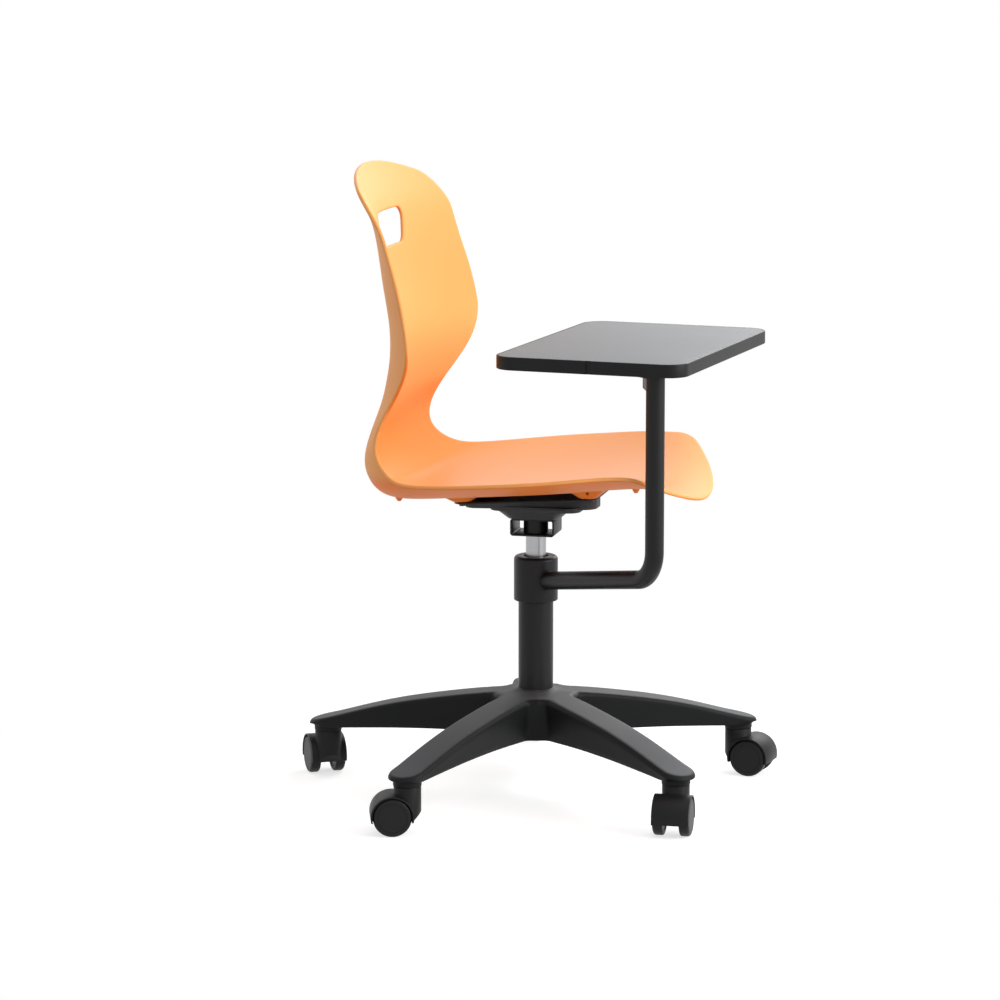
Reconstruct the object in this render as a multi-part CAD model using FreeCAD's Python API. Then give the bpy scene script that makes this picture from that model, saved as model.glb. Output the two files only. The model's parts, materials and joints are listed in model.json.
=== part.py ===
import FreeCAD, Part
import math
import os

# Swivel school chair with a writing tablet, in millimetres.
# The origin is on the floor under the turning column, +Z is up and the sitter faces -Y.
# The sitter's right hand is on the -X side.

V = FreeCAD.Vector
UP = V(0, 0, 1)
ALONG_X = V(1, 0, 0)
ALONG_Y = V(0, 1, 0)

# Fits shared by every piece
running_fit = 0.05
body_gap = 0.3
overrun = 40.0
parallel_limit = 1e-6

# Castors
castor_count = 5
castor_circle_radius = 304.0
base_turn_deg = 14.4
castor_headings_deg = (3.0, 30.0, 107.0, -179.0, -99.0)
wheel_radius = 26.0
wheel_width = 14.0
wheel_inner_gap = 22.0
wheel_edge_round = 2.5
wheel_cover_wall = 3.0
castor_trail = 21.0
axle_radius = 3.0
hood_wall = 2.2
wheel_pocket_clearance = 0.8
hood_side_clearance = 0.4
hood_skirt_height = 19.0
hood_head_radius = 18.5
hood_nose_cut = 12.0
stem_radius = 5.0
stem_top_radius = 5.5
stem_in_hood = 20.0
stem_in_base = 16.0
stem_top_clearance = 2.0

# Star base
base_boss_bottom = 65.0
base_boss_radius = 18.5
arm_end_radius = 24.0
arm_lip_thickness = 6.5
arm_top_width = 50.0
arm_foot_width = 39.0
arm_shoulder_round = 3.5
hub_top = 147.0
hub_bottom = 80.0
hub_radius = 36.0
hub_floor = 6.0
base_wall = 3.6
base_skin = 4.5
rib_thickness = 3.0
rib_pitch = 46.0
hub_web_radius = 22.0
arm_station_shares = (0.06, 0.22, 0.40, 0.60, 0.78, 0.93, 1.00, 1.085)
arm_top_shares = (0.966, 0.935, 0.881, 0.806, 0.716, 0.626, 0.586, 0.551)
arm_underside_shares = (0.545, 0.547, 0.548, 0.535, 0.515, 0.495, 0.486, 0.486)
socket_radius = 9.0

# Column and gas lift
column_radius = 24.0
column_wall = 2.2
tube_showing = 33.8
column_foot_radius = 22.6
column_taper_height = 60.0
tube_radius = 14.0
tube_wall = 2.0
tube_taper_height = 34.0
tube_top_radius = 13.1
bush_length = 62.0
bush_flange = 2.0
lift_stroke = 100.0
tube_tail_above_floor = 22.0
rod_radius = 5.0
rod_clip_thickness = 2.5
rod_clip_radius = 11.0
bearing_height = 6.0
bearing_radius = 12.5
piston_height = 14.0
release_pin_radius = 3.0
release_pin_rise = 6.0
release_pin_length = 22.0

# Arm collar and arm tube
collar_radius = 30.3
collar_height = 62.0
collar_head = 3.5
collar_cap = 3.2
collar_round = 5.0
collar_mouth_radius = 17.0
liner_wall = 2.0
arm_tube_radius = 12.5
arm_tube_wall = 2.0
arm_direction_deg = 225.0
arm_rise_deg = 9.5
arm_axis_rise = 26.0
arm_reach = 290.5
arm_bend_radius = 44.0

# Writing tablet
tablet_top = 633.0
tablet_thickness = 18.0
tablet_width = 402.0
tablet_depth = 266.0
tablet_corner = 30.0
tablet_from_tube_x = 181.7
tablet_from_tube_y = 65.3
tablet_turn_deg = -7.2
tablet_edge_round = 1.6
band_thickness = 2.0
band_joint_gap = 3.6
band_joint_share = -0.0125
bracket_plate_thickness = 3.0
bracket_plate_length = 150.0
bracket_plate_width = 76.0
bracket_neck_width = 28.0
bracket_neck_length = 44.0
bracket_plate_corner = 6.0
bracket_rib_height = 19.0
bracket_rib_reach = 36.0
bracket_rib_thickness = 3.0
bracket_rib_inset = 1.0
tablet_screw_radius = 2.2
tablet_screw_head_radius = 4.5
tablet_screw_head_height = 2.4
tablet_screw_length = 14.0
screw_edge_distance = 11.0

# Seat plate and mechanism
plate_length = 210.0
plate_width = 150.0
plate_forward_shift = 3.0
plate_sheet = 3.0
plate_corner = 20.0
plate_height = 418.0
plate_tilt_deg = 3.65
body_rear_reach = 91.0
body_front_reach = 88.0
body_rear_width = 96.0
body_front_width = 54.0
body_rear_corner = 14.0
body_front_corner = 20.0
body_drop = 17.6
body_wall = 3.0
step_rear_reach = 58.0
step_front_reach = 68.0
step_width = 84.0
step_corner = 18.0
step_height = 3.4
funnel_top_length = 102.0
funnel_top_width = 74.0
funnel_foot_length = 72.0
funnel_foot_width = 60.0
funnel_corner = 16.0
socket_rise = 12.5
cage_length = 61.5
cage_width = 52.0
cage_height = 24.0
tray_height = 12.7
cage_sheet = 2.5
cage_corner = 4.0
socket_wall = 3.0
lever_pin_x = 26.0
lever_pin_radius = 2.5
lever_axis_drop = 11.4
lever_rod_radius = 3.5
lever_hub_radius = 6.0
lever_hub_length = 16.0
lever_reach = 205.0
lever_nose_reach = 31.0
lever_grip_length = 68.0
lever_grip_width = 24.0
lever_grip_thickness = 9.0
lever_slot_clearance = 5.5
ear_thickness = 2.5
ear_width = 16.0

# Seat and back shell, one moulding
shell_thickness = 5.5
shell_rise = 460.0
shell_drop = 9.0
shell_depth = 480.0
shell_width = 449.0
back_arc_radius = 543.0
back_top_trim = 1.0
back_corner_width = 388.0
back_corner_radius = 54.0
front_arc_radius = 364.0
front_reach = 242.0
front_corner_width = 408.0
front_corner_radius = 44.0
handle_top_width = 137.0
handle_foot_width = 110.0
handle_height = 48.0
handle_centre_rise = 369.0
handle_corner = 13.0
pad_foot_length = 22.0
pad_foot_width = 22.0
pad_head_length = 46.0
pad_head_width = 40.0
pad_taper_height = 12.0
pad_corner = 5.0
pad_rear_at = -88.0
pad_front_at = 88.0
pad_across = 62.0
nub_radius = 5.0
nub_across = 62.0
nub_rear_at = -178.0
nub_front_at = 152.0
nub_rear_rise = 0.0
nub_front_rise = 25.0
plate_screw_radius = 3.0
plate_screw_bite = 8.0
plate_screw_head_radius = 6.0
plate_screw_head_height = 3.0

# Shell stations from the top of the back to the front of the seat.
# Middle line: places along the depth and up the rise.
spine_reach_shares = (-0.5000, -0.4815, -0.4531, -0.4354, -0.4240, -0.4146, -0.4004, -0.3950, -0.3973,
                      -0.4063, -0.4208, -0.4400, -0.4635, -0.4760, -0.4636, -0.4302, -0.3640, -0.2604,
                      -0.1458, -0.0208, 0.0938, 0.1979, 0.2813, 0.3438, 0.3958, 0.4417, 0.4792, 0.5125)
spine_height_shares = (1.0217, 0.9674, 0.9000, 0.8348, 0.7457, 0.6565, 0.5674, 0.5022, 0.4391,
                       0.3761, 0.3043, 0.2413, 0.1739, 0.1109, 0.0630, 0.0283, 0.0130, 0.0185,
                       0.0283, 0.0380, 0.0478, 0.0587, 0.0668, 0.0713, 0.0695, 0.0609, 0.0465, 0.0261)
# Rim: half widths, and places along the depth and up the rise.
rim_width_shares = (0.8909, 0.8909, 0.8775, 0.8641, 0.8597, 0.8820, 0.9020, 0.8953, 0.8374,
                    0.7439, 0.6592, 0.6370, 0.6548, 0.6949, 0.7528, 0.8241, 0.8775, 0.9310,
                    0.9755, 1.0000, 0.9955, 0.9733, 0.9310, 0.9065, 0.8953, 0.8909, 0.8909, 0.8909)
rim_reach_shares = (-0.4360, -0.4080, -0.3762, -0.3465, -0.3215, -0.2935, -0.2740, -0.2670, -0.2755,
                    -0.3035, -0.3412, -0.3740, -0.3870, -0.3771, -0.3479, -0.3063, -0.2479, -0.1667,
                    -0.0729, 0.0313, 0.1250, 0.2083, 0.2792, 0.3396, 0.3875, 0.4333, 0.4708, 0.5042)
rim_height_shares = (1.0217, 0.9565, 0.8957, 0.8348, 0.7522, 0.6565, 0.5674, 0.5065, 0.4413,
                     0.3761, 0.3130, 0.2522, 0.1978, 0.1565, 0.1239, 0.1043, 0.1011, 0.1065,
                     0.1152, 0.1250, 0.1337, 0.1424, 0.1478, 0.1487, 0.1424, 0.1261, 0.1109, 0.0935)
cross_samples = 13
seat_first_station = 14

# Sizes that follow from the ones above
body_bottom = plate_height - body_drop
lever_axis_height = plate_height - lever_axis_drop
step_bottom = body_bottom - step_height
cage_top = step_bottom - tray_height
cage_bottom = cage_top - cage_height
column_top = cage_bottom - tube_showing
collar_top = column_top + collar_head
collar_bottom = collar_top - collar_height
arm_axis_at_column = collar_bottom + arm_axis_rise
shell_low = plate_height - shell_drop
back_top = shell_low + shell_rise - back_top_trim
handle_centre_height = shell_low + handle_centre_rise
nub_rear_low = shell_low + nub_rear_rise
nub_front_low = shell_low + nub_front_rise
stem_shoulder = base_boss_bottom - body_gap
wheel_outer_face = wheel_inner_gap / 2 + wheel_width
hood_radius = wheel_radius + wheel_pocket_clearance + hood_wall
arm_span = castor_circle_radius
tube_bore_radius = tube_radius - tube_wall
column_bore_radius = column_radius - column_wall
tube_top = cage_top + socket_rise
tube_bottom = hub_bottom + hub_floor + tube_tail_above_floor
tablet_underside = tablet_top - tablet_thickness
tube_end_x = arm_reach * math.cos(math.radians(arm_direction_deg))
tube_end_y = arm_reach * math.sin(math.radians(arm_direction_deg))
tablet_centre_x = tube_end_x + tablet_from_tube_x
tablet_centre_y = tube_end_y + tablet_from_tube_y


def cylinder(radius, height, base, direction=UP):
    return Part.makeCylinder(radius, height, base, direction)


def ring(outer, inner, height, base, direction=UP):
    return cylinder(outer, height, base, direction).cut(cylinder(inner, height, base, direction))


def revolved(outline):
    # Turns a closed outline of (radius, height) pairs about the Z axis.
    points = [V(radius, 0, height) for radius, height in outline]
    wire = Part.makePolygon(points + [points[0]])
    return Part.Face(wire).revolve(V(0, 0, 0), UP, 360)


def centred_box(length_x, length_y, length_z, low_z, at_x=0.0, at_y=0.0):
    return Part.makeBox(length_x, length_y, length_z, V(at_x - length_x / 2, at_y - length_y / 2, low_z))


def edges_along(shape, direction):
    found = []
    for edge in shape.Edges:
        if edge.Curve.TypeId == "Part::GeomLine":
            run = edge.Vertexes[1].Point.sub(edge.Vertexes[0].Point)
            if abs(abs(run.normalize().dot(direction)) - 1) < parallel_limit:
                found.append(edge)
    return found


def rounded_plate(length_x, length_y, length_z, corner, low_z, at_x=0.0, at_y=0.0):
    plate = centred_box(length_x, length_y, length_z, low_z, at_x, at_y)
    return plate.makeFillet(corner, edges_along(plate, UP))


def turned(shape, degrees, axis=UP, centre=V(0, 0, 0)):
    copy = shape.copy()
    copy.rotate(centre, axis, degrees)
    return copy


def shifted(shape, x, y, z):
    copy = shape.copy()
    copy.translate(V(x, y, z))
    return copy


def keep(name, shape):
    shape.exportStep("parts/" + name + ".step")


def arm_section(x, low, high, top_width, foot_width):
    half_top = top_width / 2
    half_foot = foot_width / 2
    slope = (half_top - half_foot) / (high - low)
    shoulder = min(arm_shoulder_round, (high - low) / 3)
    outline = [V(x, -half_foot, low), V(x, half_foot, low),
               V(x, half_top - slope * shoulder, high - shoulder), V(x, half_top - shoulder, high),
               V(x, shoulder - half_top, high), V(x, slope * shoulder - half_top, high - shoulder)]
    return Part.makePolygon(outline + [outline[0]])


def lofted_arm(side_wall, skin, first_share, last_share, below):
    sections = []
    for share, top, foot in zip(arm_station_shares, arm_top_shares, arm_underside_shares):
        if first_share <= share <= last_share:
            low = hub_top * foot - below
            high = hub_top * top - skin
            grow = below * (arm_top_width - arm_foot_width) / (2 * (high - low))
            top_width = arm_top_width - 2 * side_wall
            foot_width = arm_foot_width - 2 * side_wall - grow
            sections.append(arm_section(arm_span * share, low, high, top_width, foot_width))
    return Part.makeLoft(sections, True, False)


def hub_corner(arc_radius, inset, low):
    # The space between two arms' middle lines, out to a hollow round face, under the arms' own height.
    half_turn = math.pi / castor_count
    away = (arm_top_width / 2 + hub_web_radius) / math.sin(half_turn)
    along = away * math.cos(half_turn)
    side = away * math.sin(half_turn)
    corners = [V(0, 0, low), V(along, 0, low), V(along, side, low),
               V(along * math.cos(2 * half_turn), along * math.sin(2 * half_turn), low)]
    block = Part.Face(Part.makePolygon(corners + [corners[0]])).extrude(V(0, 0, hub_top))
    block = block.cut(cylinder(arc_radius, 2 * hub_top, V(along, side, 0)))
    rise = [(arm_span * share, hub_top * top - inset) for share, top in zip(arm_station_shares, arm_top_shares)]
    dome = revolved([(0.0, low), (rise[2][0], low), rise[2], rise[1], (0.0, rise[0][1])])
    return block.common(dome)


def hub_pocket():
    # Open space under the corner, beside the hub's wall and the arms' middle ribs.
    room = hub_corner(hub_web_radius + base_wall, base_skin, hub_bottom - overrun)
    room = room.cut(cylinder(hub_radius + base_wall, 2 * hub_top, V(0, 0, 0)))
    rib = centred_box(arm_span, rib_thickness, 2 * hub_top, 0.0, arm_span / 2)
    return room.cut(rib).cut(turned(rib, 360.0 / castor_count))


def make_star_base():
    body = lofted_arm(0.0, 0.0, arm_station_shares[0], arm_station_shares[-1], 0.0)
    # Rounded end in plan, about the castor socket.
    strip = centred_box(arm_span, arm_top_width + overrun, hub_top + overrun, 0.0, arm_span / 2)
    strip = strip.fuse(cylinder(arm_end_radius, hub_top + overrun, V(arm_span, 0, 0)))
    body = body.common(strip)
    # The top plate runs past the socket boss as a lip.
    lip_low = hub_top * arm_top_shares[-2] - arm_lip_thickness
    past = centred_box(2 * arm_end_radius, 2 * arm_end_radius + overrun, lip_low, 0.0, arm_span + arm_end_radius)
    boss = cylinder(base_boss_radius, hub_top, V(arm_span, 0, base_boss_bottom))
    body = body.cut(past.cut(cylinder(base_boss_radius, hub_top, V(arm_span, 0, 0))))
    # Open underside with a boss at its end and ribs across.
    pocket = lofted_arm(base_wall, base_skin, arm_station_shares[0], arm_station_shares[-2], overrun / 4)
    pocket = pocket.cut(cylinder(base_boss_radius + base_wall / 2, hub_top + overrun, V(arm_span, 0, 0)))
    solid_core = pocket.copy()
    pocket = pocket.cut(cylinder(hub_radius + base_wall, hub_top + overrun, V(0, 0, 0)))
    ribs = centred_box(arm_span, rib_thickness, hub_top, base_boss_bottom + base_wall, arm_span / 2)
    count = int((arm_span - hub_radius - base_boss_radius) / rib_pitch)
    for index in range(1, count + 1):
        place = hub_radius + rib_pitch * index
        ribs = ribs.fuse(centred_box(rib_thickness, arm_top_width, hub_top, base_boss_bottom + base_wall, place))
    pocket = pocket.cut(ribs)
    body = body.cut(pocket)
    boss_top = hub_top * arm_top_shares[-2] - arm_lip_thickness / 2
    boss = cylinder(base_boss_radius, boss_top - base_boss_bottom, V(arm_span, 0, base_boss_bottom))
    body = body.fuse(boss)
    socket = cylinder(socket_radius, stem_in_base, V(arm_span, 0, base_boss_bottom))
    body = body.cut(socket)
    hub = revolved([(0.0, hub_bottom), (hub_radius - base_wall, hub_bottom), (hub_radius, hub_bottom + base_wall),
                    (hub_radius, hub_top - base_skin), (hub_radius - base_skin, hub_top), (0.0, hub_top)])
    base = hub
    corner = hub_corner(hub_web_radius, 0.0, hub_bottom)
    pocket = hub_pocket()
    headings = [base_turn_deg + index * 360.0 / castor_count for index in range(castor_count)]
    for heading in headings:
        base = base.fuse(turned(body, heading)).fuse(turned(corner, heading))
    for heading in headings:
        base = base.cut(turned(pocket, heading))
    # Tapered seat for the column, with a hole for the rod clip below.
    seat_low = hub_bottom + hub_floor
    base = base.cut(column_outer(seat_low, hub_top + overrun))
    base = base.cut(cylinder(rod_clip_radius + rod_clip_thickness, overrun, V(0, 0, seat_low - overrun)))
    return base.removeSplitter()


def column_outer(low, high):
    taper_top = low + column_taper_height
    return revolved([(0.0, low), (column_foot_radius, low), (column_radius, taper_top), (column_radius, high),
                     (0.0, high)])


def make_column_tube():
    low = hub_bottom + hub_floor
    shell = column_outer(low, column_top)
    bore = revolved([(0.0, low + column_wall), (column_foot_radius - column_wall, low + column_wall),
                     (column_bore_radius, low + column_taper_height), (column_bore_radius, column_top),
                     (0.0, column_top)])
    hole = cylinder(rod_radius + body_gap, column_wall, V(0, 0, low))
    return shell.cut(bore).cut(hole)


def make_guide_bush():
    low = column_top - bush_length
    sleeve = ring(column_bore_radius, tube_radius + running_fit, bush_length, V(0, 0, low))
    return sleeve.makeChamfer(bush_flange / 2, [sleeve.Edges[0]])


def make_thrust_bearing():
    low = hub_bottom + hub_floor + column_wall
    return ring(bearing_radius, rod_radius + running_fit, bearing_height, V(0, 0, low))


def make_rod_clip():
    low = hub_bottom + hub_floor - rod_clip_thickness
    return ring(rod_clip_radius, rod_radius + running_fit, rod_clip_thickness, V(0, 0, low))


def make_piston_rod():
    low = hub_bottom + hub_floor - rod_clip_thickness - bush_flange
    bearing_top = hub_bottom + hub_floor + column_wall + bearing_height
    high = tube_bottom + lift_stroke + piston_height
    rod = cylinder(rod_radius, high - low, V(0, 0, low))
    shoulder = cylinder(rod_radius + bush_flange, bush_flange, V(0, 0, bearing_top))
    return rod.fuse(shoulder)


def make_piston_head():
    low = tube_bottom + lift_stroke + bush_flange
    head = ring(tube_bore_radius - running_fit, rod_radius, piston_height, V(0, 0, low))
    return head


def make_pressure_tube():
    taper_low = tube_top - tube_taper_height
    outer = revolved([(0.0, tube_bottom), (tube_radius, tube_bottom), (tube_radius, taper_low),
                      (tube_top_radius, tube_top), (0.0, tube_top)])
    bore = cylinder(tube_bore_radius, taper_low - tube_bottom - tube_wall, V(0, 0, tube_bottom + tube_wall))
    outer = outer.cut(bore)
    outer = outer.cut(cylinder(rod_radius + running_fit, tube_wall, V(0, 0, tube_bottom)))
    pin_bore = cylinder(release_pin_radius + running_fit, tube_taper_height + tube_wall, V(0, 0, taper_low - tube_wall))
    return outer.cut(pin_bore)


def make_release_pin():
    high = tube_top + release_pin_rise
    return cylinder(release_pin_radius, release_pin_length, V(0, 0, high - release_pin_length))


def tilted(shape):
    # The seat plate stands a few degrees up at the front.
    copy = turned(shape, plate_tilt_deg, V(-1, 0, 0))
    copy.translate(V(0, 0, plate_height))
    return copy


def lever_slot(at_x):
    clear = lever_rod_radius + 4 * body_gap
    return centred_box(overrun, 2 * clear, 2 * clear + lever_slot_clearance, lever_axis_height - clear, at_x)


def make_seat_plate():
    plate = rounded_plate(plate_width, plate_length, plate_sheet, plate_corner, -plate_sheet,
                          0.0, -plate_forward_shift)
    for across in (-pad_across, pad_across):
        for place in (pad_rear_at, pad_front_at):
            plate = plate.cut(cylinder(plate_screw_radius, overrun, V(across, -place, -overrun / 2)))
    return tilted(plate)


def body_outline(inset, low, high):
    rear = body_rear_reach - inset
    front = -body_front_reach + inset
    half_rear = body_rear_width / 2 - inset
    half_front = body_front_width / 2 - inset
    corners = [V(-half_rear, rear, low), V(half_rear, rear, low), V(half_front, front, low),
               V(-half_front, front, low)]
    prism = Part.Face(Part.makePolygon(corners + [corners[0]])).extrude(V(0, 0, high - low))
    rear_edges = [edge for edge in edges_along(prism, UP) if edge.Vertexes[0].Point.y > 0]
    prism = prism.makeFillet(body_rear_corner - inset, rear_edges)
    front_edges = [edge for edge in edges_along(prism, UP) if edge.Vertexes[0].Point.y < front / 2 and
                   abs(edge.Vertexes[0].Point.y - front) < running_fit]
    return prism.makeFillet(body_front_corner - inset, front_edges)


def tapered_block(foot, head, corner, low, high):
    # foot and head are (size across, size along) at the two heights.
    wires = []
    for size, place in ((foot, low), (head, high)):
        plate = rounded_plate(size[0], size[1], high - low, corner, place)
        face = min(plate.Faces, key=lambda item: item.CenterOfMass.z)
        wires.append(face.OuterWire)
    return Part.makeLoft(wires, True, True)


def funnel(inset, low, high):
    # A tapered tray between the casting above and the cage below.
    foot = (funnel_foot_width - 2 * inset, funnel_foot_length - 2 * inset)
    head = (funnel_top_width - 2 * inset, funnel_top_length - 2 * inset)
    return tapered_block(foot, head, funnel_corner - inset, low, high)


def make_mechanism_body():
    high = plate_height + overrun
    outer = body_outline(0.0, body_bottom, high)
    inner = body_outline(body_wall, body_bottom, high)
    middle = (step_rear_reach - step_front_reach) / 2
    step = rounded_plate(step_width, step_rear_reach + step_front_reach, step_height + body_wall, step_corner,
                         step_bottom, 0.0, middle)
    room = rounded_plate(funnel_top_width - 2 * body_wall, funnel_top_length - 2 * body_wall,
                         step_height + body_wall, funnel_corner - body_wall, step_bottom)
    floor = body_outline(0.0, body_bottom, body_bottom + body_wall)
    outer = outer.cut(inner).fuse(floor).fuse(step).cut(room)
    tray = funnel(0.0, cage_top, step_bottom)
    hollow = funnel(body_wall, cage_top + body_wall, step_bottom)
    floor_plate = rounded_plate(funnel_foot_width, funnel_foot_length, body_wall, funnel_corner, cage_top)
    body = outer.fuse(tray.cut(hollow)).fuse(floor_plate.common(tray))
    body = body.cut(tilted(centred_box(2 * plate_width, 2 * plate_length, 2 * overrun, -plate_sheet)))
    body = body.fuse(cylinder(tube_radius + socket_wall, socket_rise, V(0, 0, cage_top)))
    # Ears that carry the lever pin.
    inside = tray.fuse(body_outline(body_wall / 2, step_bottom, high))
    for side in (-1, 1):
        middle = side * (lever_hub_length / 2 + body_gap + ear_thickness / 2)
        height = lever_axis_height - cage_top
        ear = centred_box(ear_width, ear_thickness, height, cage_top, lever_pin_x, middle)
        crown = cylinder(lever_hub_radius, ear_thickness, V(lever_pin_x, middle - ear_thickness / 2,
                                                            lever_axis_height), ALONG_Y)
        body = body.fuse(ear.fuse(crown).common(inside))
    body = body.cut(tube_taper_tool()).cut(lever_slot(body_rear_width / 2))
    pin_hole = cylinder(lever_pin_radius, overrun, V(lever_pin_x, -overrun / 2, lever_axis_height), ALONG_Y)
    return body.cut(pin_hole).removeSplitter()


def tube_taper_tool():
    taper_low = tube_top - tube_taper_height
    return revolved([(0.0, taper_low - overrun), (tube_radius, taper_low - overrun), (tube_radius, taper_low),
                     (tube_top_radius, tube_top), (0.0, tube_top)])


def make_cage():
    height = cage_top - cage_bottom
    body = centred_box(cage_width, cage_length, height, cage_bottom)
    body = body.makeFillet(cage_corner, edges_along(body, ALONG_X))
    room = centred_box(cage_width + overrun, cage_length - 2 * cage_sheet, height - 2 * cage_sheet,
                       cage_bottom + cage_sheet)
    room = room.makeFillet(cage_corner - cage_sheet, edges_along(room, ALONG_X))
    socket = cylinder(tube_radius + socket_wall, height, V(0, 0, cage_bottom))
    return body.cut(room).fuse(socket).cut(tube_taper_tool()).removeSplitter()


def make_plate_screws():
    screws = []
    for across in (-pad_across, pad_across):
        for place in (pad_rear_at, pad_front_at):
            head = cylinder(plate_screw_head_radius, plate_screw_head_height,
                            V(across, -place, -plate_sheet - plate_screw_head_height))
            shank = cylinder(plate_screw_radius, plate_sheet + plate_screw_bite, V(across, -place, -plate_sheet))
            screws.append(tilted(head.fuse(shank)))
    return Part.makeCompound(screws)


def make_lever_pin():
    length = lever_hub_length + 2 * (ear_thickness + body_gap)
    return cylinder(lever_pin_radius, length, V(lever_pin_x, -length / 2, lever_axis_height), ALONG_Y)


def make_lever_rod():
    start = lever_pin_x - lever_nose_reach
    rod = cylinder(lever_rod_radius, lever_reach - start, V(start, 0, lever_axis_height), ALONG_X)
    hub = cylinder(lever_hub_radius, lever_hub_length, V(lever_pin_x, -lever_hub_length / 2, lever_axis_height),
                   ALONG_Y)
    bore = cylinder(lever_pin_radius + running_fit, lever_hub_length,
                    V(lever_pin_x, -lever_hub_length / 2, lever_axis_height), ALONG_Y)
    return rod.fuse(hub).cut(bore).removeSplitter()


def make_lever_grip():
    start = lever_reach - lever_grip_length / 2
    paddle = centred_box(lever_grip_length, lever_grip_width, lever_grip_thickness,
                         lever_axis_height - lever_grip_thickness / 2, start + lever_grip_length / 2)
    paddle = paddle.makeFillet(lever_grip_width / 3, edges_along(paddle, UP))
    paddle = paddle.makeFillet(lever_grip_thickness / 4, paddle.Edges)
    hole = cylinder(lever_rod_radius, lever_reach - start, V(start, 0, lever_axis_height), ALONG_X)
    return paddle.cut(hole)


def shell_grid():
    rows = []
    for index in range(len(spine_reach_shares)):
        spine_y = -shell_depth * spine_reach_shares[index]
        spine_z = shell_low + shell_rise * spine_height_shares[index]
        rim_x = shell_width / 2 * rim_width_shares[index]
        rim_y = -shell_depth * rim_reach_shares[index]
        rim_z = shell_low + shell_rise * rim_height_shares[index]
        row = []
        for step in range(cross_samples):
            across = 2.0 * step / (cross_samples - 1) - 1.0
            bow = across * across
            row.append(V(rim_x * across, spine_y + (rim_y - spine_y) * bow, spine_z + (rim_z - spine_z) * bow))
        rows.append(row)
    return rows


def side_face(first, second):
    return Part.makeRuledSurface(first, second)


def sheet_edges(surface):
    u0, u1, v0, v1 = surface.bounds()
    return [surface.uIso(u0).toShape(), surface.uIso(u1).toShape(), surface.vIso(v0).toShape(),
            surface.vIso(v1).toShape()]


def make_moulding():
    grid = shell_grid()
    inner = Part.BSplineSurface()
    inner.interpolate(grid)
    offset_grid = []
    for row in grid:
        offset_row = []
        for point in row:
            u, v = inner.parameter(point)
            normal = inner.normal(u, v)
            if normal.y < 0 and normal.z < 0.5 or normal.z > 0.5:
                normal = normal.negative()
            offset_row.append(point.add(normal.multiply(shell_thickness)))
        offset_grid.append(offset_row)
    outer = Part.BSplineSurface()
    outer.interpolate(offset_grid)
    faces = [inner.toShape(), outer.toShape()]
    for first, second in zip(sheet_edges(inner), sheet_edges(outer)):
        faces.append(side_face(first, second))
    sewn = Part.makeShell(faces)
    sewn.sewShape()
    solid = Part.makeSolid(Part.Shell(sewn.Faces))
    if solid.Volume < 0:
        solid.reverse()
    # The room above the seat's underside, from the middle of the wall upwards.
    u, v = outer.parameter(offset_grid[seat_first_station][0])
    u0, u1, v0, v1 = outer.bounds()
    underside = shifted(outer.toShape(u, u1, v0, v1), 0, 0, shell_thickness / 2)
    return solid, underside.extrude(V(0, 0, overrun))


def corner_tool(width, reach, arc_radius, corner_radius, depth):
    # Material outside a strip with an arched end and rounded corners, in plan, ahead of its end at +Y.
    strip = centred_box(width, reach + shell_width, depth, 0.0, 0.0, (reach - shell_width) / 2)
    arch = cylinder(arc_radius, depth, V(0, reach - arc_radius, 0))
    strip = strip.common(arch)
    picked = [edge for edge in edges_along(strip, UP) if edge.Vertexes[0].Point.y > 0]
    strip = strip.makeFillet(corner_radius, picked)
    sag = arc_radius - math.sqrt(arc_radius ** 2 - (width / 2) ** 2)
    start = reach - sag - corner_radius
    block = centred_box(2 * shell_width, reach, depth, 0.0, 0.0, start + reach / 2)
    return block.cut(strip)


def make_seat_shell():
    shell, room = make_moulding()
    # Top corners of the back, cut in front view.
    top_tool = corner_tool(back_corner_width, back_top - shell_low, back_arc_radius, back_corner_radius, shell_depth)
    top_tool = turned(top_tool, 90, ALONG_X)
    top_tool.translate(V(0, shell_depth, shell_low))
    shell = shell.cut(top_tool)
    # Front corners of the seat, cut in plan.
    front_tool = corner_tool(front_corner_width, front_reach, front_arc_radius, front_corner_radius, shell_rise / 3)
    front_tool = turned(front_tool, 180)
    front_tool.translate(V(0, 0, shell_low - shell_thickness))
    shell = shell.cut(front_tool)
    # Hand hole through the back.
    low = handle_centre_height - handle_height / 2
    high = handle_centre_height + handle_height / 2
    corners = [V(-handle_foot_width / 2, 0, low), V(handle_foot_width / 2, 0, low),
               V(handle_top_width / 2, 0, high), V(-handle_top_width / 2, 0, high)]
    hole = Part.Face(Part.makePolygon(corners + [corners[0]])).extrude(V(0, shell_depth, 0))
    hole = hole.makeFillet(handle_corner, edges_along(hole, ALONG_Y))
    shell = shell.cut(hole)
    # Fixing pads on the seat plate and stacking nubs.
    head = (pad_head_width, pad_head_length)
    pad = tapered_block((pad_foot_width, pad_foot_length), head, pad_corner, 0.0, pad_taper_height)
    pad = pad.fuse(rounded_plate(head[0], head[1], overrun - pad_taper_height, pad_corner, pad_taper_height))
    for across in (-pad_across, pad_across):
        for place in (pad_rear_at, pad_front_at):
            shell = shell.fuse(tilted(shifted(pad, across, -place, 0)).cut(room))
    for across in (-nub_across, nub_across):
        for place, low in ((nub_rear_at, nub_rear_low), (nub_front_at, nub_front_low)):
            shell = shell.fuse(cylinder(nub_radius, overrun, V(across, -place, low)).cut(room))
    screw_room = make_plate_screws()
    shell = shell.cut(screw_room)
    return shell


def castor_place(index):
    angle = math.radians(base_turn_deg + index * 360.0 / castor_count)
    return castor_circle_radius * math.cos(angle), castor_circle_radius * math.sin(angle)


def set_castor(shape, index):
    x, y = castor_place(index)
    return shifted(turned(shape, castor_headings_deg[index]), x, y, 0.0)


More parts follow.
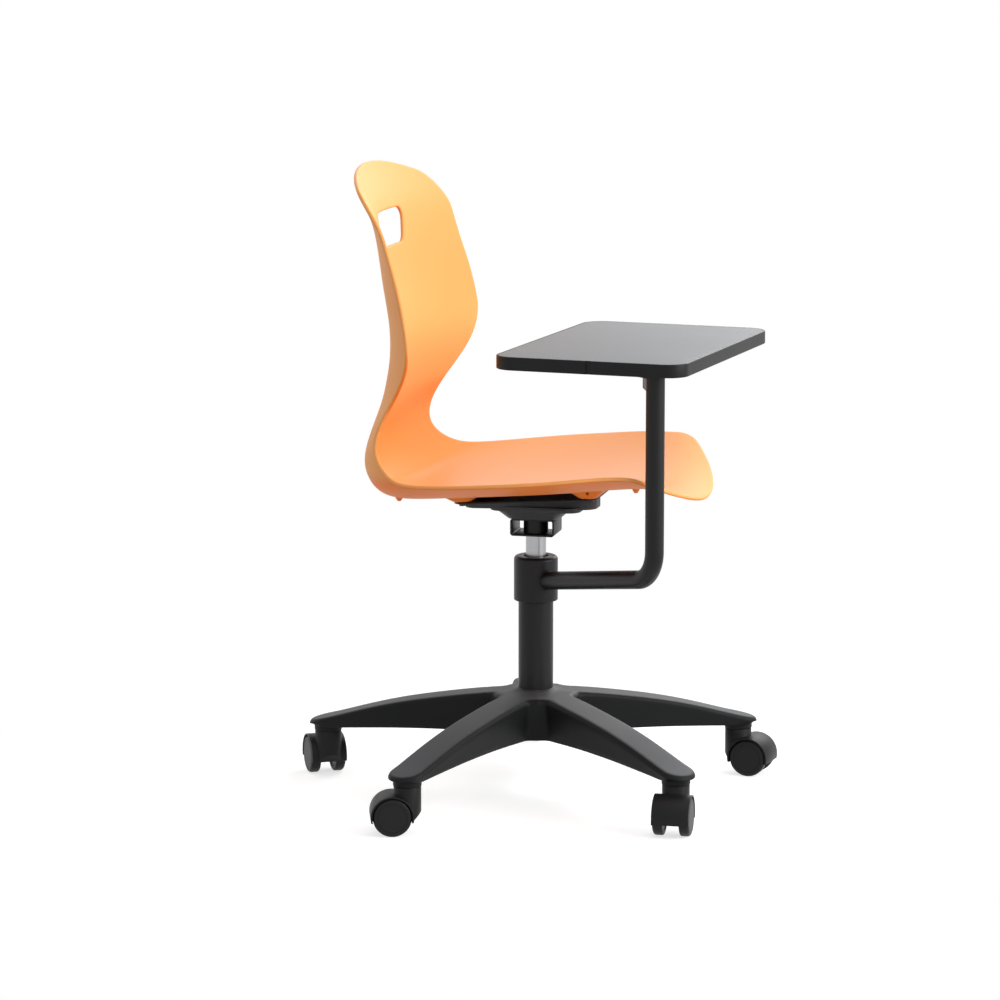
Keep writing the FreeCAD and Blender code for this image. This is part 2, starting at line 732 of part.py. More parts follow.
def make_hood():
    # The stem axis is at the origin and the wheels trail along +X.
    width = 2 * wheel_outer_face
    fender = cylinder(hood_radius, width, V(castor_trail, -width / 2, wheel_radius), ALONG_Y)
    head = cylinder(hood_head_radius, stem_shoulder - hood_skirt_height, V(0, 0, hood_skirt_height))
    body = fender.fuse(head)
    body = body.cut(centred_box(4 * hood_radius, 2 * width, hood_skirt_height + overrun, -overrun))
    nose = Part.makePolygon([V(-hood_head_radius, -width, hood_skirt_height),
                             V(hood_nose_cut - hood_head_radius, -width, hood_skirt_height),
                             V(-hood_head_radius, -width, hood_skirt_height + hood_nose_cut),
                             V(-hood_head_radius, -width, hood_skirt_height)])
    body = body.cut(Part.Face(nose).extrude(V(0, 2 * width, 0)))
    for side in (-1, 1):
        pocket = cylinder(wheel_radius + wheel_pocket_clearance, width,
                          V(castor_trail, 0, wheel_radius), ALONG_Y)
        pocket.translate(V(0, wheel_inner_gap / 2 - hood_side_clearance, 0))
        if side < 0:
            pocket = turned(pocket, 180, ALONG_X, V(0, 0, wheel_radius))
        body = body.cut(pocket)
    bore = cylinder(stem_radius + running_fit, stem_in_hood + body_gap, V(0, 0, stem_shoulder - stem_in_hood - body_gap))
    axle_hole = cylinder(axle_radius, 2 * width, V(castor_trail, -width, wheel_radius), ALONG_Y)
    return body.cut(bore).cut(axle_hole).removeSplitter()


def make_stem():
    low = stem_shoulder - stem_in_hood
    lower = cylinder(stem_radius, stem_in_hood + body_gap, V(0, 0, low))
    upper = cylinder(stem_top_radius, stem_in_base - stem_top_clearance, V(0, 0, base_boss_bottom))
    return lower.fuse(upper)


def make_socket():
    sleeve = ring(socket_radius, stem_top_radius, stem_in_base, V(arm_span, 0, base_boss_bottom))
    return sleeve


def make_axle():
    length = 2 * (wheel_outer_face - wheel_cover_wall - body_gap)
    return cylinder(axle_radius, length, V(castor_trail, -length / 2, wheel_radius), ALONG_Y)


def make_wheel(side):
    inner = wheel_inner_gap / 2
    body = cylinder(wheel_radius, wheel_width, V(castor_trail, inner, wheel_radius), ALONG_Y)
    rims = [edge for edge in body.Edges if edge.Curve.TypeId == "Part::GeomCircle"]
    body = body.makeFillet(wheel_edge_round, rims)
    bore = cylinder(axle_radius + running_fit, wheel_width - wheel_cover_wall, V(castor_trail, inner, wheel_radius),
                    ALONG_Y)
    body = body.cut(bore)
    if side < 0:
        body = turned(body, 180, UP, V(castor_trail, 0, 0))
    return body


def arm_frame(shape):
    # Shapes drawn with the arm along +X are turned to the arm's own direction.
    return turned(shape, arm_direction_deg)


def arm_path():
    rise = math.radians(arm_rise_deg)
    corner_z = arm_axis_at_column + arm_reach * math.tan(rise)
    setback = arm_bend_radius * math.tan((math.pi / 2 - rise) / 2)
    start = V(0, 0, arm_axis_at_column)
    corner = V(arm_reach, 0, corner_z)
    bend_start = corner.sub(V(setback * math.cos(rise), 0, setback * math.sin(rise)))
    bend_end = V(arm_reach, 0, corner_z + setback)
    centre = V(arm_reach - arm_bend_radius, 0, corner_z + setback)
    middle_angle = (rise - math.pi / 2) / 2
    middle = centre.add(V(arm_bend_radius * math.cos(middle_angle), 0, arm_bend_radius * math.sin(middle_angle)))
    end = V(arm_reach, 0, tablet_underside - bracket_plate_thickness)
    return start, bend_start, middle, bend_end, end


def bent_tube(radius):
    start, bend_start, middle, bend_end, end = arm_path()
    run = bend_start.sub(start)
    lower = cylinder(radius, run.Length, start, run)
    arc = Part.Arc(bend_start, middle, bend_end).toShape()
    circle = Part.Wire(Part.makeCircle(radius, bend_start, run))
    elbow = Part.Wire(arc).makePipeShell([circle], True, False)
    upper = cylinder(radius, end.z - bend_end.z, bend_end)
    return lower.fuse(elbow).fuse(upper).removeSplitter()


def collar_solid():
    return cylinder(collar_radius, collar_top - collar_bottom, V(0, 0, collar_bottom))


def make_arm_tube():
    outer = bent_tube(arm_tube_radius)
    tube = outer.cut(bent_tube(arm_tube_radius - arm_tube_wall))
    return arm_frame(tube.cut(collar_solid()))


def make_arm_collar():
    body = collar_solid()
    top_edges = [edge for edge in body.Edges if abs(edge.BoundBox.ZMin - collar_top) < running_fit
                 and edge.BoundBox.ZLength < running_fit]
    body = body.makeFillet(collar_round, top_edges)
    bore = cylinder(column_radius + running_fit + liner_wall, collar_top - collar_cap - collar_bottom,
                    V(0, 0, collar_bottom))
    mouth = cylinder(collar_mouth_radius, overrun, V(0, 0, collar_top - overrun / 2))
    return body.cut(bore).cut(mouth)


def make_collar_liner():
    outer = column_radius + running_fit + liner_wall
    high = collar_top - collar_cap
    sleeve = ring(outer, column_radius + running_fit, high - collar_bottom, V(0, 0, collar_bottom))
    return sleeve


def tablet_outline(inset, low, high):
    return rounded_plate(tablet_width - 2 * inset, tablet_depth - 2 * inset, high - low, tablet_corner - inset, low)


def set_tablet(shape):
    return shifted(turned(shape, tablet_turn_deg), tablet_centre_x, tablet_centre_y, 0.0)


def make_tablet_board():
    return set_tablet(tablet_outline(band_thickness, tablet_underside, tablet_top))


def make_edge_band():
    outer = tablet_outline(0.0, tablet_underside, tablet_top)
    rims = [edge for edge in outer.Edges if edge.BoundBox.ZLength < running_fit]
    outer = outer.makeFillet(tablet_edge_round, rims)
    band = outer.cut(tablet_outline(band_thickness, tablet_underside, tablet_top))
    gap = centred_box(overrun, band_joint_gap, tablet_thickness, tablet_underside, -tablet_width / 2,
                      tablet_depth * band_joint_share)
    return set_tablet(band.cut(gap))


def set_bracket(shape):
    heading = math.degrees(math.atan2(tablet_from_tube_y, tablet_from_tube_x))
    return shifted(turned(shape, heading), tube_end_x, tube_end_y, 0.0)


def bracket_screw_places():
    far = bracket_plate_length - arm_tube_radius - screw_edge_distance
    near = bracket_neck_length + screw_edge_distance / 2
    side = bracket_plate_width / 2 - screw_edge_distance
    return [(far, side), (far, -side), (near, side), (near, -side)]


def make_tablet_bracket():
    # A plate that widens from the tube's width, with a rib beside the tube.
    low = tablet_underside - bracket_plate_thickness
    near = -arm_tube_radius
    far = bracket_plate_length - arm_tube_radius
    half = bracket_plate_width / 2
    neck = bracket_neck_width / 2
    corners = [V(near, -neck, low), V(bracket_neck_length - arm_tube_radius, -half, low), V(far, -half, low),
               V(far, half, low), V(bracket_neck_length - arm_tube_radius, half, low), V(near, neck, low)]
    plate = Part.Face(Part.makePolygon(corners + [corners[0]])).extrude(V(0, 0, bracket_plate_thickness))
    plate = plate.makeFillet(bracket_plate_corner, edges_along(plate, UP))
    side = arm_tube_radius - bracket_rib_inset
    rib = Part.makeBox(bracket_rib_reach, bracket_rib_thickness, bracket_rib_height,
                       V(0, side - bracket_rib_thickness, low - bracket_rib_height))
    rib = rib.cut(cylinder(arm_tube_radius, bracket_rib_height, V(0, 0, low - bracket_rib_height)))
    body = plate.fuse(rib)
    for x, y in bracket_screw_places():
        body = body.cut(cylinder(tablet_screw_radius, overrun, V(x, y, low - overrun / 2)))
    return set_bracket(body.removeSplitter())


def make_tablet_screws():
    low = tablet_underside - bracket_plate_thickness
    screws = []
    for x, y in bracket_screw_places():
        head = cylinder(tablet_screw_head_radius, tablet_screw_head_height, V(x, y, low - tablet_screw_head_height))
        shank = cylinder(tablet_screw_radius, tablet_screw_length, V(x, y, low))
        screws.append(head.fuse(shank))
    return set_bracket(Part.makeCompound(screws))


def main():
    os.makedirs("parts", exist_ok=True)
    keep("star_base", make_star_base())
    keep("column_tube", make_column_tube())
    keep("guide_bush", make_guide_bush())
    keep("thrust_bearing", make_thrust_bearing())
    keep("rod_clip", make_rod_clip())
    keep("piston_rod", make_piston_rod())
    keep("piston_head", make_piston_head())
    keep("pressure_tube", make_pressure_tube())
    keep("release_pin", make_release_pin())
    keep("seat_plate", make_seat_plate())
    keep("mechanism_body", make_mechanism_body())
    keep("mechanism_cage", make_cage())
    keep("plate_screws", make_plate_screws())
    keep("lever_pin", make_lever_pin())
    keep("lever_rod", make_lever_rod())
    keep("lever_grip", make_lever_grip())
    keep("seat_shell", make_seat_shell())
    keep("arm_collar", make_arm_collar())
    keep("collar_liner", make_collar_liner())
    keep("arm_tube", make_arm_tube())
    keep("tablet_bracket", make_tablet_bracket())
    screws = make_tablet_screws()
    keep("tablet_board", make_tablet_board().cut(screws))
    keep("tablet_edge_band", make_edge_band())
    keep("tablet_screws", screws)
    stem = make_stem()
    hood = make_hood()
    axle = make_axle()
    socket = make_socket()
    sockets = []
    for index in range(castor_count):
        number = str(index + 1)
        sockets.append(turned(socket, base_turn_deg + index * 360.0 / castor_count))
        keep("castor_stem_" + number, set_castor(stem, index))
        keep("castor_hood_" + number, set_castor(hood, index))
        keep("castor_axle_" + number, set_castor(axle, index))
        keep("wheel_left_" + number, set_castor(make_wheel(1), index))
        keep("wheel_right_" + number, set_castor(make_wheel(-1), index))
    keep("stem_sockets", Part.makeCompound(sockets))


main()
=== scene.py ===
import bpy
import bmesh
import json
import math
import numpy as np
from mathutils import Matrix, Vector
from mathutils.bvhtree import BVHTree


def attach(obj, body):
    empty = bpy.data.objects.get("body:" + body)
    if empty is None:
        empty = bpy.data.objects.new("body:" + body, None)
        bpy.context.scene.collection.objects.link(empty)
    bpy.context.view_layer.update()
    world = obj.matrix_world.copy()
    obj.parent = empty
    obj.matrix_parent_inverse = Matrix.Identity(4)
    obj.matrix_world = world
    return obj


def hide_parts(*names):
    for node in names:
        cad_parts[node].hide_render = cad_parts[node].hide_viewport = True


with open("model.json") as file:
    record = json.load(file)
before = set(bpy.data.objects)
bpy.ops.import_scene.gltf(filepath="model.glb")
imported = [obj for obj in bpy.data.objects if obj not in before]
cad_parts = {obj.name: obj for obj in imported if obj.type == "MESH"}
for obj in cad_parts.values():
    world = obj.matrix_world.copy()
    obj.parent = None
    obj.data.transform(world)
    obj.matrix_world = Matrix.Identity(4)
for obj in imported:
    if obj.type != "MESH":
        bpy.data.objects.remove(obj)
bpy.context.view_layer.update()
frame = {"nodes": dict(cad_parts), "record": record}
nodes = frame["nodes"]
print("frame loaded:", len(nodes), "nodes")

up = Vector((0, 0, 1))
full = 2 * math.pi


# Small tools

def linkMesh(name, mesh, smooth=True):
    for face in mesh.polygons:
        face.use_smooth = smooth
    piece = bpy.data.objects.new(name, mesh)
    bpy.context.scene.collection.objects.link(piece)
    return piece


def fromWork(name, work):
    mesh = bpy.data.meshes.new(name)
    work.to_mesh(mesh)
    work.free()
    return linkMesh(name, mesh)


def makeObject(name, points, faces, smooth=True):
    mesh = bpy.data.meshes.new(name)
    mesh.from_pydata([tuple(p) for p in points], [], faces)
    mesh.validate()
    work = bmesh.new()
    work.from_mesh(mesh)
    bmesh.ops.recalc_face_normals(work, faces=work.faces)
    work.to_mesh(mesh)
    work.free()
    return linkMesh(name, mesh, smooth)


def settle(piece, body, slot, replaced=()):
    # The material has the slot's name.
    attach(piece, body)
    if replaced:
        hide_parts(*replaced)
    piece.data.materials.clear()
    piece.data.materials.append(materials[slot])


def sharpen(piece, degrees):
    # Smooth shading that breaks at edges sharper than this.
    bpy.context.view_layer.objects.active = piece
    piece.select_set(True)
    bpy.ops.object.shade_smooth_by_angle(angle=math.radians(degrees))
    piece.select_set(False)


def applyModifiers(piece):
    bpy.context.view_layer.update()
    graph = bpy.context.evaluated_depsgraph_get()
    mesh = bpy.data.meshes.new_from_object(piece.evaluated_get(graph))
    piece.modifiers.clear()
    piece.data = mesh


def fromNode(name, width, segments=2, degrees=40):
    # A copy of a solid with its edges softened.
    work = bmesh.new()
    work.from_mesh(nodes[name].data)
    bmesh.ops.remove_doubles(work, verts=work.verts, dist=2e-6)
    bmesh.ops.dissolve_limit(work, angle_limit=math.radians(1.0), verts=work.verts, edges=work.edges)
    piece = fromWork(name + "Soft", work)
    if width:
        bevel = piece.modifiers.new("edges", "BEVEL")
        bevel.width = width
        bevel.segments = segments
        bevel.limit_method = "ANGLE"
        bevel.angle_limit = math.radians(degrees)
        applyModifiers(piece)
    sharpen(piece, degrees)
    return piece


def circle(count):
    # (cosine, sine) of evenly spread directions.
    return [(math.cos(full * k / count), math.sin(full * k / count)) for k in range(count)]


def quarter(steps):
    # (cosine, sine) of the angles from nothing to a quarter turn.
    return [(math.cos(full / 4 * k / steps), math.sin(full / 4 * k / steps)) for k in range(steps + 1)]


def roundedLevels(low, high, edge, steps):
    # (inset, height) pairs up a side whose bottom and top edges are rounded.
    levels = [(edge - edge * sine, low + edge - edge * cosine) for cosine, sine in quarter(steps)]
    return levels + [(edge - edge * cosine, high - edge + edge * sine) for cosine, sine in quarter(steps)]


def ringFaces(low, high):
    # Faces between two closed rings of point numbers.
    count = len(low)
    return [(low[k], low[(k + 1) % count], high[(k + 1) % count], high[k]) for k in range(count)]


def stackFaces(rings):
    return [face for low, high in zip(rings, rings[1:]) for face in ringFaces(low, high)]


def addRing(points, ring):
    # Adds a ring of points and gives their numbers.
    points += ring
    return range(len(points) - len(ring), len(points))


def filleted(points, radius, closed=False, steps=5):
    # Rounds the corners of an outline.
    out = []
    count = len(points)
    for i, here in enumerate(points):
        if not closed and i in (0, count - 1):
            out.append(here)
            continue
        before = points[i - 1] - here
        after = points[(i + 1) % count] - here
        half = before.angle(after) / 2
        reach = min(radius / math.tan(half), before.length * 0.49, after.length * 0.49)
        size = reach * math.tan(half)
        centre = here + (before.normalized() + after.normalized()).normalized() * (size / math.sin(half))
        first = here + before.normalized() * reach - centre
        last = here + after.normalized() * reach - centre
        sweep = first.angle(last)
        for k in range(steps + 1):
            share = k / steps
            blend = (first * math.sin((1 - share) * sweep) + last * math.sin(share * sweep)) / math.sin(sweep)
            out.append(centre + blend)
    return out


def roundedRing(width, depth, corner, steps=5):
    # A rectangle with round corners, about the middle.
    out = []
    for n, (sx, sy) in enumerate(((1, 1), (-1, 1), (-1, -1), (1, -1))):
        for k in range(steps + 1):
            angle = math.radians(90 * n + 90 * k / steps)
            out.append(Vector((sx * (width / 2 - corner) + corner * math.cos(angle),
                               sy * (depth / 2 - corner) + corner * math.sin(angle))))
    return out


def turnedPiece(name, outline, place=(0, 0, 0), axis=up, steps=96):
    # Turns an outline of (radius, height) about an axis through a place.
    turn = up.rotation_difference(Vector(axis)).to_matrix()
    points = []
    rings = []
    for radius, height in outline:
        directions = circle(steps) if radius > 0 else [(0.0, 0.0)]
        rings.append(addRing(points, [Vector(place) + turn @ Vector((radius * x, radius * y, height))
                                      for x, y in directions]))
    faces = []
    for low, high in zip(rings, rings[1:]):
        if len(low) > 1 and len(high) > 1:
            faces += ringFaces(low, high)
        elif len(low) > 1:
            faces += [(low[k], low[(k + 1) % steps], high[0]) for k in range(steps)]
        elif len(high) > 1:
            faces += [(low[0], high[(k + 1) % steps], high[k]) for k in range(steps)]
    return makeObject(name, points, faces)


def sweptTube(name, path, radius, wall, steps):
    # A round, open tube along a list of points.
    sections = []
    side = None
    for i, here in enumerate(path):
        ahead = (path[min(i + 1, len(path) - 1)] - path[max(i - 1, 0)]).normalized()
        if side is None:
            side = ahead.orthogonal().normalized()
        side = (side - ahead * side.dot(ahead)).normalized()
        sections.append((here, side, ahead.cross(side)))
    points = []
    layers = []
    for size in (radius, radius - wall):
        layers.append([addRing(points, [here + first * (size * x) + second * (size * y) for x, y in circle(steps)])
                       for here, first, second in sections])
    faces = stackFaces(layers[0]) + stackFaces(layers[1])
    for end in (0, -1):
        faces += ringFaces(layers[0][end], layers[1][end])
    return makeObject(name, points, faces)


def raisedOutline(name, outline, low, high, edge, steps=4):
    # A flat plate with a given outline in plan and its top and bottom edges rounded.
    count = len(outline)
    centre = sum(outline, Vector((0, 0))) / count
    normals = []
    for i in range(count):
        along = outline[(i + 1) % count] - outline[i - 1]
        out = Vector((along.y, -along.x)).normalized()
        normals.append(out if out.dot(outline[i] - centre) >= 0 else -out)
    points = []
    rings = [addRing(points, [(p.x - n.x * inset, p.y - n.y * inset, height) for p, n in zip(outline, normals)])
             for inset, height in roundedLevels(low, high, edge, steps)]
    return makeObject(name, points, stackFaces(rings) + [tuple(rings[0]), tuple(rings[-1])])


# Materials

class Wire:
    # Wraps a socket, so that shader maths reads as ordinary sums.
    def __init__(self, shader, socket):
        self.shader = shader
        self.socket = socket

    def sum(self, operation, first, second):
        return self.shader.add("ShaderNodeMath", {"operation": operation}, {0: first, 1: second})

    def __add__(self, other):
        return self.sum("ADD", self, other)

    def __radd__(self, other):
        return self.sum("ADD", other, self)

    def __sub__(self, other):
        return self.sum("SUBTRACT", self, other)

    def __rsub__(self, other):
        return self.sum("SUBTRACT", other, self)

    def __mul__(self, other):
        return self.sum("MULTIPLY", self, other)

    def __rmul__(self, other):
        return self.sum("MULTIPLY", other, self)


class Shader:
    # The nodes of a material or of the world.
    def __init__(self, owner):
        owner.use_nodes = True
        self.owner = owner
        self.tree = owner.node_tree
        self.main = self.tree.nodes.get("Principled BSDF") or self.tree.nodes["Background"]
        self.end = self.tree.nodes.get("Material Output") or self.tree.nodes["World Output"]

    def add(self, kind, settings=None, inputs=None, output=0):
        node = self.tree.nodes.new(kind)
        for key, value in (settings or {}).items():
            if key == "stops":
                for stop, (place, shade) in zip(node.color_ramp.elements, value):
                    stop.position = place
                    stop.color = (shade, shade, shade, 1)
            else:
                setattr(node, key, value)
        for key, value in (inputs or {}).items():
            self.put(node.inputs[key], value)
        return Wire(self, node.outputs[output])

    def put(self, socket, value):
        if isinstance(value, Wire):
            self.tree.links.new(value.socket, socket)
        else:
            socket.default_value = value

    def set(self, **values):
        # Sets the main shader's sockets.
        for key, value in values.items():
            self.put(self.main.inputs[key.replace("_", " ")], value)

    def place(self):
        return self.add("ShaderNodeTexCoord", output="Object")

    def upward(self):
        # How far a face looks up, from -1 to 1.
        normal = self.add("ShaderNodeNewGeometry", output="Normal")
        return self.add("ShaderNodeSeparateXYZ", inputs={"Vector": normal}, output="Z")

    def noise(self, scale, detail=2.0, rough=0.5, stretch=None):
        where = self.place()
        if stretch:
            where = self.add("ShaderNodeMapping", inputs={"Vector": where, "Scale": stretch})
        return self.add("ShaderNodeTexNoise", inputs={"Vector": where, "Scale": scale, "Detail": detail,
                                                      "Roughness": rough}, output="Fac")

    def mixColour(self, share, first, second):
        first, second = [colour if isinstance(colour, Wire) else (*colour, 1) for colour in (first, second)]
        return self.add("ShaderNodeMix", {"data_type": "RGBA"}, {"Factor": share, "A": first, "B": second},
                        output="Result")

    def ease(self, value, start, end, most=1.0):
        # Rises softly from 0 at start to most at end.
        return self.add("ShaderNodeMapRange", {"interpolation_type": "SMOOTHSTEP"},
                        {"Value": value, "From Min": start, "From Max": end, "To Min": 0.0, "To Max": most})

    def bump(self, height, strength, distance):
        return self.add("ShaderNodeBump", inputs={"Height": height, "Strength": strength, "Distance": distance},
                        output="Normal")

    def shown(self):
        # 1 for the rays that show the background: from the camera, off a gloss or through glass.
        camera, gloss, glass = [self.add("ShaderNodeLightPath", output="Is " + kind + " Ray")
                                for kind in ("Camera", "Glossy", "Transmission")]
        return self.add("ShaderNodeClamp", inputs={"Value": camera + gloss + glass})


def newShader(name):
    return Shader(bpy.data.materials.new(name))


def linear(colour):
    shares = [value / 255 for value in colour]
    return tuple(share / 12.92 if share <= 0.04045 else ((share + 0.055) / 1.055) ** 2.4 for share in shares)


def moulded(name, light, dark, roughness, grain, depth, specular, sheen=0.0, under=None, paintedTopLight=None):
    # Moulded plastic: a fine spark-eroded grain and slow changes of gloss.
    shader = newShader(name)
    cloud = shader.noise(9.0, 3.0)
    colour = shader.mixColour(cloud, linear(light), linear(dark))
    if under:
        # Painted shade: a deeper, darker tone on faces that look down, standing in for the shade those faces lie
        # in.
        colour = shader.mixColour(shader.ease(shader.upward(), -0.22, -0.60), colour, linear(under))
    if paintedTopLight:
        # Painted light: a paler tone on faces that look up, standing in for the light and sheen that tops catch.
        colour = shader.mixColour(shader.ease(shader.upward(), 0.75, 0.97), colour, linear(paintedTopLight))
    if sheen:
        # Polished where people sit, but not on the front edge.
        along = shader.add("ShaderNodeSeparateXYZ", inputs={"Vector": shader.place()}, output="Y")
        shader.set(Coat_Weight=shader.ease(shader.upward(), 0.86, 0.99, sheen) * shader.ease(along, -0.20, -0.13),
                   Coat_Roughness=0.40)
    shader.set(Base_Color=colour, Roughness=roughness + 0.10 * (cloud - 0.5), Specular_IOR_Level=specular,
               Normal=shader.bump(shader.noise(grain, 3.0, 0.6), 0.25, depth))
    return shader.owner


def coated(name, light, dark, roughness, grain, depth, specular):
    # Powder coat on metal, with faint orange-peel waves.
    shader = newShader(name)
    cloud = shader.noise(14.0, 2.0)
    shader.set(Base_Color=shader.mixColour(cloud, linear(light), linear(dark)),
               Roughness=roughness + 0.08 * (cloud - 0.5), Specular_IOR_Level=specular,
               Normal=shader.bump(shader.noise(grain, 1.0, 0.4), 0.2, depth))
    return shader.owner


def bright(name, colour, roughness, stretch, depth):
    # Bright metal with fine turning or drawing lines.
    shader = newShader(name)
    lines = shader.noise(220.0, 2.0, 0.5, stretch)
    shader.set(Base_Color=(*linear(colour), 1), Metallic=1.0, Roughness=roughness + 0.06 * (lines - 0.5),
               Normal=shader.bump(lines, 0.1, depth))
    return shader.owner


def laminate(name, light, dark, roughness, depth, specular):
    # Grey writing surface with a faint speckle and a matt, slightly pebbled finish.
    shader = newShader(name)
    speck = shader.noise(900.0, 2.0, 0.7)
    cloud = shader.noise(6.0, 2.0)
    shade = shader.add("ShaderNodeValToRGB", {"stops": ((0.40, 0.0), (0.62, 1.0))}, {"Fac": speck})
    mixed = 0.7 * cloud + 0.3 * shader.add("ShaderNodeSeparateColor", inputs={"Color": shade}, output="Red")
    shader.set(Base_Color=shader.mixColour(mixed, linear(light), linear(dark)), Specular_IOR_Level=specular,
               Roughness=roughness + 0.08 * (cloud - 0.5), Normal=shader.bump(speck, 0.08, depth))
    return shader.owner


materials = {
    # The shell's under colour is painted shade on its faces that look down.
    "orange_shell": moulded("orangeShell", (253, 175, 102), (251, 170, 97), roughness=0.52, grain=1500.0,
                            depth=0.00012, specular=0.12, sheen=0.85, under=(255, 137, 54)),
    # The base's paler top colour is painted light on its faces that look up.
    "base_nylon": moulded("baseNylon", (24, 25, 26), (19, 20, 21), roughness=0.52, grain=1400.0,
                          depth=0.00018, specular=0.14, paintedTopLight=(66, 68, 71)),
    "castor_nylon": moulded("castorNylon", (25, 25, 26), (20, 20, 21), roughness=0.46, grain=1500.0,
                            depth=0.00012, specular=0.18),
    "wheel_nylon": moulded("wheelNylon", (27, 27, 28), (22, 22, 23), roughness=0.44, grain=1500.0,
                           depth=0.00010, specular=0.20),
    "black_plastic": moulded("blackPlastic", (26, 26, 26), (21, 21, 21), roughness=0.45, grain=1200.0,
                             depth=0.00015, specular=0.26),
    "black_paint": coated("blackPaint", (24, 24, 25), (18, 18, 19), roughness=0.40, grain=700.0,
                          depth=0.00015, specular=0.24),
    "black_casting": coated("blackCasting", (66, 66, 67), (58, 58, 59), roughness=0.50, grain=420.0,
                            depth=0.00030, specular=0.30),
    "chrome_tube": bright("chromeTube", (172, 172, 174), roughness=0.30, stretch=(1.0, 1.0, 0.02), depth=0.00002),
    "bearing_steel": bright("zincSteel", (186, 186, 184), roughness=0.30, stretch=(1.0, 1.0, 1.0), depth=0.00005),
    "bush_acetal": moulded("bushAcetal", (30, 30, 30), (24, 24, 24), roughness=0.40, grain=900.0,
                           depth=0.00010, specular=0.30),
    "tablet_laminate": laminate("tabletLaminate", (139, 141, 144), (133, 135, 138), roughness=0.62,
                                depth=0.0001, specular=0.14),
    "tablet_edge": moulded("tabletEdge", (23, 23, 24), (18, 18, 19), roughness=0.42, grain=1100.0,
                           depth=0.00010, specular=0.20),
    "screw_black": coated("blackScrew", (40, 40, 41), (32, 32, 33), roughness=0.35, grain=900.0,
                          depth=0.00010, specular=0.40),
}
finishOf = {part["node"]: part["material_slot"] for part in frame["record"]["subparts"]}
for name in ("plate_screws", "tablet_screws"):
    finishOf[name] = "screw_black"
for name, node in nodes.items():
    node.data.materials.clear()
    node.data.materials.append(materials[finishOf[name]])
print("materials made:", len(materials))


# Seat and back shell

seatShell = {
    "wall": 0.0055,
    "edgeRound": 0.0023,
    "low": 0.409,
    "rise": 0.460,
    "depth": 0.480,
    "width": 0.449,
    "backTop": 0.868,
    "backArc": 0.543,
    "backCornerWidth": 0.388,
    "backCorner": 0.054,
    "frontReach": 0.242,
    "frontArc": 0.364,
    "frontCornerWidth": 0.408,
    "frontCorner": 0.044,
    "holeTopWidth": 0.137,
    "holeFootWidth": 0.110,
    "holeHeight": 0.048,
    "holeCentre": 0.778,
    "holeCorner": 0.013,
    "spineReachShares": (-0.5000, -0.4815, -0.4531, -0.4354, -0.4240, -0.4146, -0.4004, -0.3950, -0.3973, -0.4063,
                         -0.4208, -0.4400, -0.4635, -0.4760, -0.4636, -0.4302, -0.3640, -0.2604, -0.1458, -0.0208,
                         0.0938, 0.1979, 0.2813, 0.3438, 0.3958, 0.4417, 0.4792, 0.5125),
    "spineHeightShares": (1.0217, 0.9674, 0.9000, 0.8348, 0.7457, 0.6565, 0.5674, 0.5022, 0.4391, 0.3761, 0.3043,
                          0.2413, 0.1739, 0.1109, 0.0630, 0.0283, 0.0130, 0.0185, 0.0283, 0.0380, 0.0478, 0.0587,
                          0.0668, 0.0713, 0.0695, 0.0609, 0.0465, 0.0261),
    "rimWidthShares": (0.8909, 0.8909, 0.8775, 0.8641, 0.8597, 0.8820, 0.9020, 0.8953, 0.8374, 0.7439, 0.6592,
                       0.6370, 0.6548, 0.6949, 0.7528, 0.8241, 0.8775, 0.9310, 0.9755, 1.0000, 0.9955, 0.9733,
                       0.9310, 0.9065, 0.8953, 0.8909, 0.8909, 0.8909),
    "rimReachShares": (-0.4360, -0.4080, -0.3762, -0.3465, -0.3215, -0.2935, -0.2740, -0.2670, -0.2755, -0.3035,
                       -0.3412, -0.3740, -0.3870, -0.3771, -0.3479, -0.3063, -0.2479, -0.1667, -0.0729, 0.0313,
                       0.1250, 0.2083, 0.2792, 0.3396, 0.3875, 0.4333, 0.4708, 0.5042),
    "rimHeightShares": (1.0217, 0.9565, 0.8957, 0.8348, 0.7522, 0.6565, 0.5674, 0.5065, 0.4413, 0.3761, 0.3130,
                        0.2522, 0.1978, 0.1565, 0.1239, 0.1043, 0.1011, 0.1065, 0.1152, 0.1250, 0.1337, 0.1424,
                        0.1478, 0.1487, 0.1424, 0.1261, 0.1109, 0.0935),
    "rows": 150,
    "columns": 64,
    "gridStart": 1.5,
    "gridEnd": 2.2,
    "gridAcross": 0.78,
    "rings": 8,
    "arcSteps": 14,
    "holeClear": 0.016,
    "holeRings": 4,
    "holeSteps": 8,
    "edgeSteps": 4,
}


def smoothCurve(values):
    # Cubic spline through evenly numbered values, with free ends.
    values = np.array(values, float)
    count = len(values)
    system = np.eye(count)
    right = np.zeros(count)
    for i in range(1, count - 1):
        system[i, i - 1:i + 2] = (1, 4, 1)
        right[i] = 6 * (values[i - 1] - 2 * values[i] + values[i + 1])
    bend = np.linalg.solve(system, right)

    def at(place):
        i = int(min(max(math.floor(place), 0), count - 2))
        t = place - i
        s = 1 - t
        return (s * values[i] + t * values[i + 1] + ((s ** 3 - s) * bend[i] + (t ** 3 - t) * bend[i + 1]) / 6)
    return at


